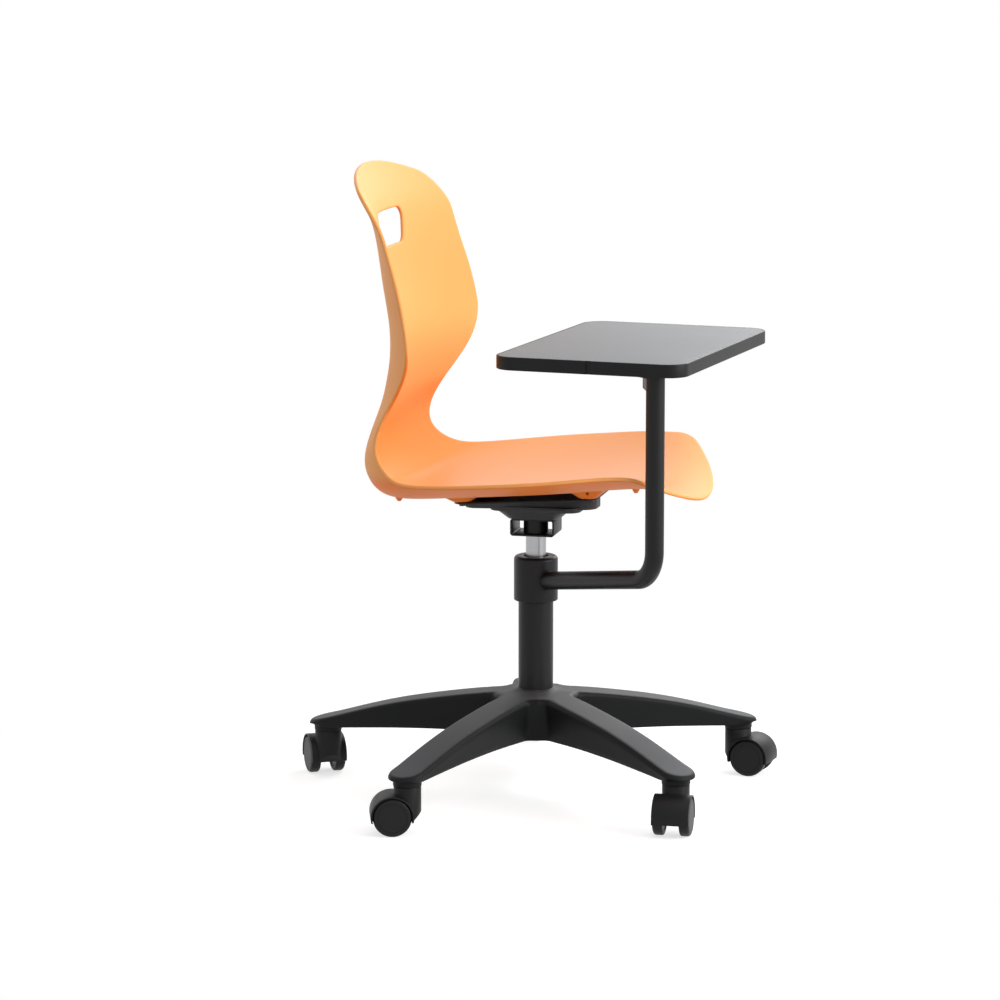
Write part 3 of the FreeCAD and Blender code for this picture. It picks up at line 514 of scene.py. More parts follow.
class ShellSurface:
    def __init__(self, sizes):
        self.last = len(sizes["spineReachShares"]) - 1
        reach = [-sizes["depth"] * share for share in sizes["spineReachShares"]]
        height = [sizes["low"] + sizes["rise"] * share for share in sizes["spineHeightShares"]]
        self.spineY = smoothCurve(reach)
        self.spineZ = smoothCurve(height)
        self.rimX = smoothCurve([sizes["width"] / 2 * share for share in sizes["rimWidthShares"]])
        self.rimY = smoothCurve([-sizes["depth"] * share for share in sizes["rimReachShares"]])
        self.rimZ = smoothCurve([sizes["low"] + sizes["rise"] * share for share in sizes["rimHeightShares"]])

    def at(self, u, v):
        bow = v * v
        y, z = self.spineY(u), self.spineZ(u)
        return Vector((self.rimX(u) * v, y + (self.rimY(u) - y) * bow, z + (self.rimZ(u) - z) * bow))

    def normal(self, u, v, step=0.01):
        # Points to the outer side: behind the back and below the seat.
        alongU = self.at(u + step, v) - self.at(u - step, v)
        alongV = self.at(u, v + step) - self.at(u, v - step)
        return alongV.cross(alongU).normalized()

    def across(self, u, x):
        return max(-1.0, min(1.0, x / self.rimX(u)))

    def find(self, x, target, axis, low, high):
        # The place at a given x whose y or z, as the axis says, matches the target.
        def measure(u):
            return getattr(self.at(u, self.across(u, x)), axis)

        rising = measure(high) > measure(low)
        for halving in range(40):
            middle = (low + high) / 2
            if (measure(middle) < target) == rising:
                low = middle
            else:
                high = middle
        return middle, self.across(middle, x)

    def spread(self, line, count):
        # Spreads count + 1 places evenly along a line of places.
        points = [self.at(u, v) for u, v in line]
        lengths = [0.0]
        for a, b in zip(points, points[1:]):
            lengths.append(lengths[-1] + (b - a).length)
        wanted = np.linspace(0.0, lengths[-1], count + 1)
        lineU, lineV = zip(*line)
        return list(zip(np.interp(wanted, lengths, lineU), np.interp(wanted, lengths, lineV)))


def archedEnd(reach, arc, width, corner, steps):
    # Right half of an arched end with a rounded corner: (across, along) from the side to the middle.
    inner = width / 2 - corner
    drop = arc - math.sqrt((arc - corner) ** 2 - inner ** 2)
    lean = math.asin(inner / (arc - corner))
    out = []
    for k in range(steps + 1):
        angle = (math.pi / 2 - lean) * k / steps
        out.append((inner + corner * math.cos(angle), reach - drop + corner * math.sin(angle)))
    for k in range(1, steps + 1):
        x = (inner + corner * math.sin(lean)) * (1 - k / steps)
        out.append((x, reach - arc + math.sqrt(arc * arc - x * x)))
    return out


def makeShell(sizes):
    surface = ShellSurface(sizes)
    rows, columns = sizes["rows"], sizes["columns"]
    # The back's top lies before this station and the seat's front after the other.
    backEnd, frontStart, frontEnd = 9.0, surface.last - 8.0, float(surface.last)
    topHalf = archedEnd(sizes["backTop"], sizes["backArc"], sizes["backCornerWidth"], sizes["backCorner"],
                        sizes["arcSteps"])
    frontHalf = archedEnd(sizes["frontReach"], sizes["frontArc"], sizes["frontCornerWidth"], sizes["frontCorner"],
                          sizes["arcSteps"])
    top = [surface.find(x, z, "z", 0.0, backEnd) for x, z in topHalf]
    front = [surface.find(x, -y, "y", frontStart, frontEnd) for x, y in frontHalf]
    # The corners of the grid sit half way round the corner arcs, and its rows spread along the middle line.
    turn = sizes["arcSteps"] // 2
    startU = top[-1][0] + sizes["gridStart"]
    endU = front[-1][0] - sizes["gridEnd"]
    levels = [u for u, v in surface.spread([(u, 0.0) for u in np.linspace(startU, endU, 120)], rows)]
    shares = [2 * j / columns - 1 for j in range(columns + 1)]
    # The outline, with one point for each row and column of the grid.
    sideU, sideV = zip(*top[turn::-1], *front[:turn + 1])
    ratio = (sideU[-1] - sideU[0]) / (levels[-1] - levels[0])
    right = [(u, np.interp(u, sideU, sideV)) for u in (sideU[0] + (level - levels[0]) * ratio for level in levels)]
    left = [(u, -v) for u, v in reversed(right)]
    ends = []
    arches = []
    for line in (top, front):
        lineU, lineV = zip(*reversed(line))
        ends.append([(np.interp(abs(v), lineV, lineU), v) for v in (line[turn][1] * share for share in shares)])
        arches.append(tuple(zip(*sorted((v, u) for u, v in line))))
    outline = ends[0][:-1] + right[:-1] + ends[1][:0:-1] + left[:-1]
    # Near both ends the rows bow with the arched outline.
    places = []
    for i in range(rows + 1):
        bows = (max(0.0, 1 - 4 * i / rows) ** 2, max(0.0, 4 * i / rows - 3) ** 2)
        for share in shares:
            u, v = levels[i], sizes["gridAcross"] * share
            for bow, (archV, archU) in zip(bows, arches):
                u += bow * (np.interp(abs(v), archV, archU) - archU[0])
            places.append((u, v))

    def index(i, j):
        return i * (columns + 1) + j

    def frameOf(iLow, iHigh, jLow, jHigh):
        # Point numbers round a part of the grid.
        loop = [index(iLow, j) for j in range(jLow, jHigh)] + [index(i, jHigh) for i in range(iLow, iHigh)]
        return (loop + [index(iHigh, j) for j in range(jHigh, jLow, -1)]
                + [index(i, jLow) for i in range(iHigh, iLow, -1)])

    # Hand hole: its outline, and the part of the grid that makes way for it.
    topX, footX = sizes["holeTopWidth"] / 2, sizes["holeFootWidth"] / 2
    holeTop = sizes["holeCentre"] + sizes["holeHeight"] / 2
    holeFoot = sizes["holeCentre"] - sizes["holeHeight"] / 2
    clear = sizes["holeClear"]
    heights = [surface.at(u, 0.0).z for u in levels]
    iLow = max(i for i in range(rows) if heights[i] > holeTop + clear)
    iHigh = min(i for i in range(rows) if heights[i] < holeFoot - clear)
    reachV = (topX + clear) / surface.rimX(levels[iLow])
    jLow = max(j for j in range(columns) if sizes["gridAcross"] * shares[j] < -reachV)
    jHigh = columns - jLow
    window = frameOf(iLow, iHigh, jLow, jHigh)
    corners = ((-footX, holeFoot), (-topX, holeTop), (topX, holeTop), (footX, holeFoot))
    rounded = filleted([Vector(corner) for corner in corners], sizes["holeCorner"], closed=True,
                       steps=sizes["holeSteps"])
    # Its four sides run between the middles of the rounded corners, from the top left one round.
    perCorner = sizes["holeSteps"] + 1
    first = perCorner + sizes["holeSteps"] // 2
    turned = rounded[first:] + rounded[:first + 1]
    hole = []
    for k in range(4):
        run = [surface.find(p.x, p.y, "z", 0.0, backEnd) for p in turned[k * perCorner:(k + 1) * perCorner + 1]]
        hole += surface.spread(run, (jHigh - jLow) if k % 2 == 0 else (iHigh - iLow))[:-1]

    faces = []
    for i in range(rows):
        for j in range(columns):
            if not (iLow <= i < iHigh and jLow <= j < jHigh):
                faces.append((index(i, j), index(i, j + 1), index(i + 1, j + 1), index(i + 1, j)))

    def fillRings(start, finish, number):
        # Rings of faces from a loop of the grid out to an outline.
        rings = [start]
        for ring in range(1, number + 1):
            between = []
            for a, (u, v) in zip(start, finish):
                fromU, fromV = places[a]
                between.append((fromU + (u - fromU) * ring / number, fromV + (v - fromV) * ring / number))
            rings.append(addRing(places, between))
        faces.extend(stackFaces(rings))
        return rings[-1]

    rectangle = frameOf(0, rows, 0, columns)
    outerLoop = fillRings(rectangle, outline, sizes["rings"])
    holeLoop = fillRings(window, hole, sizes["holeRings"])
    base = [surface.at(u, v) for u, v in places]
    normals = [surface.normal(u, v) for u, v in places]
    # At the edges, a direction that points away from the material.
    edgeOut = {}
    for loop, inner in ((outerLoop, rectangle), (holeLoop, window)):
        for k, here in enumerate(loop):
            along = base[loop[(k + 1) % len(loop)]] - base[loop[k - 1]]
            out = along.cross(normals[here]).normalized()
            edgeOut[here] = out if out.dot(base[here] - base[inner[k]]) >= 0 else -out
    # Both faces of the wall stop short of the edge, and the rounding joins them.
    wall, edge = sizes["wall"], sizes["edgeRound"]
    points = [p - edgeOut[k] * edge if k in edgeOut else p for k, p in enumerate(base)]
    size = len(points)
    points += [p + n * wall for p, n in zip(points, normals)]
    faces += [tuple(size + k for k in reversed(face)) for face in faces]
    for loop in (outerLoop, holeLoop):
        strips = [loop]
        for inset, height in roundedLevels(0.0, wall, edge, sizes["edgeSteps"])[1:-1]:
            strips.append(addRing(points, [base[k] - edgeOut[k] * inset + normals[k] * height for k in loop]))
        faces += stackFaces(strips + [[size + k for k in loop]])
    return makeObject("seatShell", points, faces)


shellPiece = makeShell(seatShell)
settle(shellPiece, "seat", "orange_shell", ["seat_shell"])
print("seat shell made:", len(shellPiece.data.vertices), "points")


# Star base

starBase = {
    "arms": 5,
    "turn": 14.4,
    "span": 0.304,
    "height": 0.147,
    "stations": (0.06, 0.22, 0.40, 0.60, 0.78, 0.93, 1.00, 1.085),
    "topShares": (0.966, 0.935, 0.881, 0.806, 0.716, 0.626, 0.586, 0.542),
    "footShares": (0.545, 0.547, 0.548, 0.535, 0.515, 0.495, 0.488, 0.508),
    "halfWidth": 0.0252,
    "draft": 0.0050,
    "noseDraft": 0.0030,
    "crown": 0.0005,
    "shoulder": 0.0062,
    "hubShoulder": 0.0085,
    "noseShoulder": 0.0056,
    "endRadius": 0.0254,
    "webRadius": 0.0602,
    "webFillet": 0.0070,
    "columnRadius": 0.0236,
    "flare": 0.0038,
    "flareReach": 0.0045,
    "skin": 0.0045,
    "wall": 0.0036,
    "footEdge": 0.0009,
    "pocketStart": 0.066,
    "pocketEnd": 0.281,
    "ribPitch": 0.046,
    "ribThickness": 0.003,
    "floorHoleRadius": 0.0135,
    "columnFloor": 0.086,
    "bossRadius": 0.0192,
    "bossBottom": 0.065,
    "bossHole": 0.009,
    "bossTop": 0.076,
    "draftEases": (0.20, 0.29),
    "noseStart": 0.0005,
    "noseFade": 0.02,
    "hubReach": 0.085,
    "hubFade": 0.025,
    "crownStart": 0.07,
    "meetReach": 0.03,
    "floorShares": (-0.8, 0.0, 0.8),
    "floorBow": 0.3,
    "seatStep": 0.0002,
    "ceilingGap": 0.0010,
    "ribStart": 0.036,
    "ribEndGap": 0.01,
    "ribLift": 0.0006,
    "ribTop": 0.003,
    "ribLap": 0.001,
    "ribSteps": 12,
    "bossFoot": ((-0.0012, 0.0), (-0.0003, 0.0004), (0.0, 0.0014)),
    "bossSides": 48,
    "across": 12,
    "hubRows": 12,
    "filletSteps": 6,
    "armRows": 30,
    "noseRows": 16,
    "wallSteps": 5,
}


class ArmProfile:
    def __init__(self, sizes):
        place = smoothCurve([sizes["span"] * share for share in sizes["stations"]])
        top = smoothCurve([sizes["height"] * share for share in sizes["topShares"]])
        foot = smoothCurve([sizes["height"] * share for share in sizes["footShares"]])
        steps = np.linspace(0, len(sizes["stations"]) - 1, 200)
        self.places = [place(t) for t in steps]
        self.tops = [top(t) for t in steps]
        self.feet = [foot(t) for t in steps]

    def top(self, x):
        return float(np.interp(x, self.places, self.tops))

    def foot(self, x):
        return float(np.interp(x, self.places, self.feet))


def armOutline(sizes):
    # Half outline of one arm in plan: from the column along the line between two arms, then out to the tip.
    # Also gives the number of its points that belong to the hub, and to the hub with its fillet.
    turn = math.pi / sizes["arms"]
    web, half = sizes["webRadius"], sizes["halfWidth"]
    corner = Vector((math.cos(turn), math.sin(turn))) * web
    meet = Vector((math.sqrt(web * web - half * half), half))
    farther = Vector((meet.x + sizes["meetReach"], half))
    edge = []
    for cosine, sine in quarter(sizes["hubRows"])[:-1]:
        edge.append(corner * ((sizes["columnRadius"] + (web - sizes["columnRadius"]) * sine) / web))
    edge += filleted([corner, meet, farther], sizes["webFillet"], steps=sizes["filletSteps"])[:-1]
    wallCount = len(edge)
    start = edge[-1].x
    nose = sizes["span"] + sizes["noseStart"]
    for k in range(1, sizes["armRows"] + 1):
        edge.append(Vector((start + (nose - start) * k / sizes["armRows"], half)))
    # The arm is as wide as the nose where the two meet.
    edge[-1].y = sizes["endRadius"]
    for cosine, sine in quarter(sizes["noseRows"])[1:]:
        edge.append(Vector((nose + sizes["endRadius"] * sine, sizes["endRadius"] * cosine)))
    return edge, sizes["hubRows"], wallCount


def distanceToLine(point, line):
    best = 1.0
    for a, b in zip(line, line[1:]):
        along = b - a
        share = max(0.0, min(1.0, (point - a).dot(along) / max(along.length_squared, 1e-12)))
        best = min(best, (point - a - along * share).length)
    return best


def rowPoint(sizes, edge, middle, across):
    # A point of a row: across runs from -1 to 1. Rows near the column are arcs and straighten outwards.
    turn = math.pi / sizes["arms"]
    bow = (1 - math.cos(turn * across)) / (1 - math.cos(turn))
    return Vector((middle + (edge.x - middle) * bow, edge.y * across))


def makeStarBase(sizes):
    profile = ArmProfile(sizes)
    edge, hubCount, wallCount = armOutline(sizes)
    boundary = edge[hubCount:]
    rows = len(edge)
    columnRadius, footEdge = sizes["columnRadius"], sizes["footEdge"]
    acrossRight = [sine for cosine, sine in quarter(sizes["across"])]
    spread = [-share for share in acrossRight[:0:-1]] + acrossRight
    lengths = [0.0]
    for a, b in zip(edge[:wallCount], edge[1:wallCount]):
        lengths.append(lengths[-1] + (b - a).length)
    middles = [columnRadius + (edge[wallCount - 1].x - columnRadius) * length / lengths[-1] for length in lengths]
    middles += [point.x for point in edge[wallCount:]]

    def draftAt(x):
        return float(np.interp(x, sizes["draftEases"], (sizes["draft"], sizes["noseDraft"])))

    def inwards(i):
        # Direction from the outline into the arm, in plan.
        if i == hubCount:
            return -edge[i].normalized()
        along = edge[i + 1] - edge[i - 1] if i < rows - 1 else Vector((0.0, -1.0))
        return Vector((along.y, -along.x)).normalized()

    def topHeight(p):
        radius = p.length
        near = distanceToLine(Vector((p.x, abs(p.y))), boundary)
        hubShare = max(0.0, min(1.0, (sizes["hubReach"] - radius) / sizes["hubFade"]))
        noseShare = max(0.0, min(1.0, (p.x - sizes["span"]) / sizes["noseFade"]))
        curve = sizes["shoulder"] + (sizes["hubShoulder"] - sizes["shoulder"]) * hubShare
        curve += (sizes["noseShoulder"] - sizes["shoulder"]) * noseShare
        gap = max(0.0, curve - near)
        drop = curve - math.sqrt(curve * curve - gap * gap)
        height = profile.top(p.x) + sizes["flare"] * math.exp((columnRadius - radius) / sizes["flareReach"])
        if p.x > sizes["crownStart"]:
            height -= sizes["crown"] * (p.y / sizes["halfWidth"]) ** 2
        return height - drop

    work = bmesh.new()

    def bridge(first, second):
        for k in range(len(first) - 1):
            corners = [first[k], first[k + 1], second[k + 1], second[k]]
            if len(set(corners)) == 4:
                work.faces.new(corners)

    def bridgeAll(lines):
        for first, second in zip(lines, lines[1:]):
            bridge(first, second)

    def makeArm(turn):
        def addRow(places):
            return [work.verts.new(turn @ Vector(place)) for place in places]

        topRows = []
        for i in range(rows):
            flat = [rowPoint(sizes, edge[i], middles[i], share) for share in spread]
            topRows.append(addRow([(p.x, p.y, topHeight(p)) for p in flat]))
        bridgeAll(topRows)
        # Outer walls, drafted, with a rounded foot edge, and the foot's first ring.
        rims = {}
        for side in (-1, 1):
            ladder = []
            for i in range(hubCount, rows):
                p, inward = edge[i], inwards(i)
                low, high, draft = profile.foot(p.x), topHeight(p), draftAt(p.x)
                column = []
                for k in range(1, sizes["wallSteps"] + 1):
                    share = k / sizes["wallSteps"]
                    here = p + inward * (draft * share)
                    column.append((here.x, side * here.y, high + (low + footEdge - high) * share))
                here = p + inward * (draft + footEdge)
                column.append((here.x, side * here.y, low))
                ladder.append([topRows[i][-1 if side > 0 else 0]] + addRow(column))
            bridgeAll(ladder)
            rims[side] = [column[-1] for column in ladder]
        # Underside: closed at the hub and at the nose, open over the pocket between them.
        inverse = turn.inverted()
        angle = math.pi / sizes["arms"]
        hole = sizes["floorHoleRadius"]
        wholeShares = (-1, *sizes["floorShares"], 1)

        def hubArc(radius, height, shares):
            return addRow([(radius * math.cos(angle * share), radius * math.sin(angle * share), height)
                           for share in shares])

        footRows = []
        for i in range(rows):
            low = profile.foot(middles[i])
            if i < hubCount:
                radius = hole + (sizes["webRadius"] - sizes["draft"] - footEdge - hole) * i / hubCount
                footRows.append(hubArc(radius, low, wholeShares))
                continue
            left, right = rims[-1][i - hubCount], rims[1][i - hubCount]
            a, b = inverse @ left.co, inverse @ right.co
            middle = min(middles[i], b.x) if i < wallCount else b.x
            keep = max(0.0, 1 - (sizes["wall"] - footEdge) / max((b.y - a.y) / 2, 1e-6))
            bow = sizes["floorBow"]
            inner = addRow([(a.x + (middle - a.x) * bow, a.y * keep, low), (middle, 0, low),
                            (b.x + (middle - b.x) * bow, b.y * keep, low)])
            footRows.append([left] + inner + [right])
        opened = []
        for i in range(1, rows):
            before, row = footRows[i - 1], footRows[i]
            if sizes["pocketStart"] <= middles[i - 1] and middles[i] <= sizes["pocketEnd"]:
                bridge(before[:2], row[:2])
                bridge(before[-2:], row[-2:])
                opened += [row] if opened else [before, row]
            else:
                bridge(before, row)
        # Pocket: walls up to the ceiling under the top skin.
        ceiling = []
        depth = sizes["skin"] + sizes["ceilingGap"]
        for row in opened:
            flat = [inverse @ vert.co for vert in row[1:4]]
            ceiling.append(addRow([(p.x, p.y, profile.top(p.x) - depth) for p in flat]))
        bridgeAll(ceiling)
        for k in (0, 2):
            bridge([row[1 + k] for row in opened], [line[k] for line in ceiling])
        for end in (0, -1):
            bridge(opened[end][1:4], ceiling[end])
        # Column seat: down from the top to the floor and in to the clip's hole.
        floor = sizes["columnFloor"]
        bridge(topRows[0], hubArc(columnRadius, floor, spread))
        floorEdge = hubArc(hole, floor, wholeShares)
        bridge(hubArc(columnRadius - sizes["seatStep"], floor, wholeShares), floorEdge)
        bridge(floorEdge, footRows[0])
        # Ribs under the skin: one along the arm, the others across it.
        ribLift, ribTop, thin = sizes["ribLift"], sizes["ribTop"], sizes["ribThickness"] / 2
        start, end = sizes["pocketStart"], sizes["pocketEnd"]
        along = np.linspace(start, end, sizes["ribSteps"] + 1)
        low = [addRow([(x, y, profile.foot(x) + ribLift) for x in along]) for y in (-thin, thin)]
        high = [addRow([(x, y, profile.top(x) - ribTop) for x in along]) for y in (-thin, thin)]
        bridge(low[0], high[0])
        bridge(low[1], high[1])
        bridge(*low)
        bridge(*high)
        for k in (0, -1):
            bridge([line[k] for line in low], [line[k] for line in high])
        inner = sizes["halfWidth"] - sizes["draft"] - sizes["wall"] + sizes["ribLap"]
        place = sizes["ribStart"] + sizes["ribPitch"]
        while place < end - sizes["ribEndGap"]:
            plan = [(place - thin, -inner), (place + thin, -inner), (place + thin, inner), (place - thin, inner)]
            feet = addRow([(x, y, profile.foot(x) + ribLift) for x, y in plan])
            tops = addRow([(x, y, profile.top(x) - ribTop) for x, y in plan])
            bridge(feet + feet[:1], tops + tops[:1])
            work.faces.new(feet)
            work.faces.new(tops)
            place += sizes["ribPitch"]
        # Boss for the castor's stem.
        boss, bore, bottom = sizes["bossRadius"], sizes["bossHole"], sizes["bossBottom"]
        outline = [(bore, sizes["bossTop"]), (bore, bottom)]
        outline += [(boss + inset, bottom + lift) for inset, lift in sizes["bossFoot"]] + [(boss, sizes["bossTop"])]
        rings = [addRow([(sizes["span"] + radius * x, radius * y, height) for x, y in circle(sizes["bossSides"])])
                 for radius, height in outline]
        for first, second in zip(rings, rings[1:] + rings[:1]):
            bridge(first + first[:1], second + second[:1])

    for arm in range(sizes["arms"]):
        makeArm(Matrix.Rotation(math.radians(sizes["turn"]) + full * arm / sizes["arms"], 4, "Z"))
    bmesh.ops.remove_doubles(work, verts=work.verts, dist=2e-5)
    bmesh.ops.recalc_face_normals(work, faces=work.faces)
    piece = fromWork("starBase", work)
    sharpen(piece, 38)
    return piece


starPiece = makeStarBase(starBase)
settle(starPiece, "base", "base_nylon", ["star_base"])
print("star base made:", len(starPiece.data.vertices), "points")


# Castors

castor = {
    "count": 5,
    "circle": 0.304,
    "turn": 14.4,
    "headings": (3.0, 30.0, 107.0, -179.0, -99.0),
    "trail": 0.021,
    "wheelRadius": 0.026,
    "wheelWidth": 0.014,
    "wheelSides": 72,
    "innerFace": 0.011,
    "innerRound": 0.0026,
    "outerRound": 0.0042,
    "faceRadius": 0.0195,
    "groove": 0.0004,
    "grooveLip": 0.0001,
    "bore": 0.00305,
    "boreDepth": 0.011,
    "hubRadius": 0.008,
    "rimWidth": 0.0055,
    "dish": 0.0012,
    "dishSlope": 0.0005,
    "hoodEdge": 0.0011,
}


def wheelOutline(sizes):
    radius, width, bore = sizes["wheelRadius"], sizes["wheelWidth"], sizes["bore"]
    inner, outer, slope = sizes["innerRound"], sizes["outerRound"], sizes["dishSlope"]
    out = [(bore, sizes["boreDepth"]), (bore, 0.0), (sizes["hubRadius"], 0.0),
           (sizes["hubRadius"] + slope, sizes["dish"]), (radius - sizes["rimWidth"] - slope, sizes["dish"]),
           (radius - sizes["rimWidth"], 0.0)]
    out += [(radius - inner + inner * sine, inner - inner * cosine) for cosine, sine in quarter(6)]
    out += [(radius - outer + outer * cosine, width - outer + outer * sine) for cosine, sine in quarter(8)]
    # The face has a fine groove near its rim.
    face, groove = sizes["faceRadius"], sizes["groove"]
    out += [(face + groove, width), (face + groove / 2, width - groove), (face - groove / 2, width - groove),
            (face - groove, width - sizes["grooveLip"]), (face * 0.7, width), (face * 0.35, width), (0.0, width)]
    return out + [(0.0, sizes["boreDepth"]), (bore, sizes["boreDepth"])]


def makeWheels(sizes):
    for n in range(sizes["count"]):
        number = str(n + 1)
        around = math.radians(sizes["turn"]) + full * n / sizes["count"]
        heading = math.radians(sizes["headings"][n])
        circleRadius, trail = sizes["circle"], sizes["trail"]
        hub = Vector((circleRadius * math.cos(around) + trail * math.cos(heading),
                      circleRadius * math.sin(around) + trail * math.sin(heading), sizes["wheelRadius"]))
        for side, sign in (("left", 1), ("right", -1)):
            outwards = Vector((-math.sin(heading), math.cos(heading), 0)) * sign
            wheel = turnedPiece("wheel" + side.capitalize() + number, wheelOutline(sizes),
                                hub + outwards * sizes["innerFace"], outwards, sizes["wheelSides"])
            sharpen(wheel, 50)
            settle(wheel, "wheel_" + side + "_" + number, "wheel_nylon", ["wheel_" + side + "_" + number])


def makeHoods(sizes):
    for n in range(sizes["count"]):
        number = str(n + 1)
        hood = fromNode("castor_hood_" + number, sizes["hoodEdge"])
        settle(hood, "castor_" + number, "castor_nylon", ["castor_hood_" + number])


makeWheels(castor)
makeHoods(castor)
print("castors made")


# Pads and nubs under the shell

shellPad = {
    "plateHeight": 0.418,
    "plateTilt": 3.65,
    "across": 0.062,
    "along": 0.088,
    "foot": 0.022,
    "head": (0.040, 0.046),
    "footCorner": 0.005,
    "headCorner": 0.009,
    "levels": 14,
    "growth": 1.25,
    "flare": 0.004,
    "flareStart": 0.6,
    "footTuck": 0.0006,
    "footLifts": (0.0001, 0.0008),
    "sink": 0.0022,
    "holes": ((-0.0886, 0.4322, 0.0024, 0.0735),),
    "holeReach": 0.014,
    "holeSides": 20,
}
shellNub = {
    "across": 0.062,
    "places": ((-0.178, 0.409), (0.152, 0.4325)),
    "radius": 0.005,
    "tip": 0.0028,
    "tipRings": ((0.4, 0.0), (0.8, 0.0003), (1.0, 0.0010)),
    "bodyRings": ((1.0, 0.55), (1.1, 0.8), (1.5, 1.0)),
    "sink": 0.0022,
    "sides": 24,
}


def underShell():
    # Gives the height of the shell's underside over a place on the floor.
    points = [v.co.copy() for v in shellPiece.data.vertices]
    tree = BVHTree.FromPolygons(points, [tuple(face.vertices) for face in shellPiece.data.polygons])
    return lambda x, y: tree.ray_cast(Vector((x, y, 0.3)), up)[0].z


def makePads(sizes, height):
    # Four tapered feet that flare into the shell's underside.
    tilt = Matrix.Rotation(math.radians(-sizes["plateTilt"]), 3, "X")
    points, faces = [], []
    for sx, sy in ((-1, -1), (-1, 1), (1, -1), (1, 1)):
        rings = []
        for level in range(sizes["levels"] + 1):
            share = level / sizes["levels"]
            grow = min(1.0, share * sizes["growth"])
            width, depth = [sizes["foot"] + (head - sizes["foot"]) * grow for head in sizes["head"]]
            corner = sizes["footCorner"] + (sizes["headCorner"] - sizes["footCorner"]) * grow
            start = sizes["flareStart"]
            wider = 2 * sizes["flare"] * max(0.0, (share - start) / (1 - start)) ** 2
            wider -= 2 * sizes["footTuck"] if level == 0 else 0.0
            ring = []
            for p in roundedRing(width + wider, depth + wider, corner):
                flat = tilt @ Vector((sx * sizes["across"] + p.x, sy * sizes["along"] + p.y, 0.0))
                foot = sizes["plateHeight"] + flat.z
                roof = height(flat.x, flat.y) + sizes["sink"]
                # The foot's edge is rounded by its two lowest rings.
                lift = sizes["footLifts"][level] if level < 2 else (roof - foot) * share
                ring.append((flat.x, flat.y, foot + lift))
            rings.append(addRing(points, ring))
        faces += stackFaces(rings) + [tuple(rings[0]), tuple(rings[-1])]
    padding = makeObject("fixingPads", points, faces)
    drillHoles(padding, sizes)
    sharpen(padding, 60)
    return padding


def drillHoles(padding, sizes):
    # Small blind holes in the pads' outer sides: (y, z, radius, distance from the middle).
    points, faces = [], []
    for sx in (-1, 1):
        for y, z, radius, depth in sizes["holes"]:
            ends = [addRing(points, [(sx * x, y + radius * cosine, z + radius * sine)
                                     for cosine, sine in circle(sizes["holeSides"])])
                    for x in (depth, depth + sizes["holeReach"])]
            faces += ringFaces(*ends) + [tuple(end) for end in ends]
    cutter = makeObject("holeCutter", points, faces, smooth=False)
    cut = padding.modifiers.new("holes", "BOOLEAN")
    cut.operation = "DIFFERENCE"
    cut.solver = "EXACT"
    cut.object = cutter
    applyModifiers(padding)
    bpy.data.objects.remove(cutter, do_unlink=True)


def makeNubs(sizes, height):
    points, faces = [], []
    for sx in (-1, 1):
        for along, low in sizes["places"]:
            x, y = sx * sizes["across"], -along
            tall = height(x, y) + sizes["sink"] - low
            outline = [(sizes["tip"] * size, low + lift) for size, lift in sizes["tipRings"]]
            outline += [(sizes["radius"] * size, low + tall * share) for size, share in sizes["bodyRings"]]
            rings = [addRing(points, [(x + radius * cosine, y + radius * sine, z)
                                      for cosine, sine in circle(sizes["sides"])]) for radius, z in outline]
            faces += stackFaces(rings) + [tuple(rings[0]), tuple(rings[-1])]
    return makeObject("stackingNubs", points, faces)


shellUnderside = underShell()
settle(makePads(shellPad, shellUnderside), "seat", "orange_shell")
settle(makeNubs(shellNub, shellUnderside), "seat", "orange_shell")
print("pads and nubs made")


# Seat plate and mechanism

seatPlate = {
    "width": 0.150,
    "rear": 0.102,
    "front": -0.099,
    "sheet": 0.003,
    "topGap": 0.00005,
    "corner": 0.020,
    "height": 0.418,
    "tilt": 3.65,
    "edge": 0.0008,
}
mechanism = {
    "bodyEdge": 0.0009,
    "cageEdge": 0.0005,
    "gripEdge": 0.0,
}


def makeSeatPlate(sizes):
    middle = Vector((0, (sizes["rear"] + sizes["front"]) / 2))
    outline = [p + middle for p in roundedRing(sizes["width"], sizes["rear"] - sizes["front"], sizes["corner"], 8)]
    plate = raisedOutline("seatPlate", outline, -sizes["sheet"], -sizes["topGap"], sizes["edge"])
    plate.data.transform(Matrix.Translation((0, 0, sizes["height"]))
                         @ Matrix.Rotation(math.radians(-sizes["tilt"]), 4, "X"))
    sharpen(plate, 40)
    return plate


settle(makeSeatPlate(seatPlate), "seat", "black_paint", ["seat_plate"])
settle(fromNode("mechanism_body", mechanism["bodyEdge"]), "seat", "black_casting", ["mechanism_body"])
settle(fromNode("mechanism_cage", mechanism["cageEdge"]), "seat", "black_paint", ["mechanism_cage"])
settle(fromNode("lever_grip", mechanism["gripEdge"]), "lever", "black_plastic", ["lever_grip"])
print("mechanism made")


# Collar and arm tube

collar = {
    "radius": 0.0303,
    "low": 0.268,
    "high": 0.330,
    "topRound": 0.0050,
    "footRound": 0.0014,
    "bore": 0.02605,
    "mouth": 0.0170,
    "mouthLip": 0.0010,
    "cap": 0.0032,
    "sides": 128,
}
armTube = {
    "radius": 0.0125,
    "wall": 0.002,
    "sides": 64,
    "heading": 225.0,
    "rise": 9.5,
    "height": 0.294,
    "reach": 0.2905,
    "bend": 0.044,
    "start": 0.0275,
    "end": 0.612,
    "bendSteps": 20,
    "bead": 0.0016,
    "beadSteps": 72,
    "beadSides": 10,
    "ripple": 0.10,
    "ripples": 9,
}


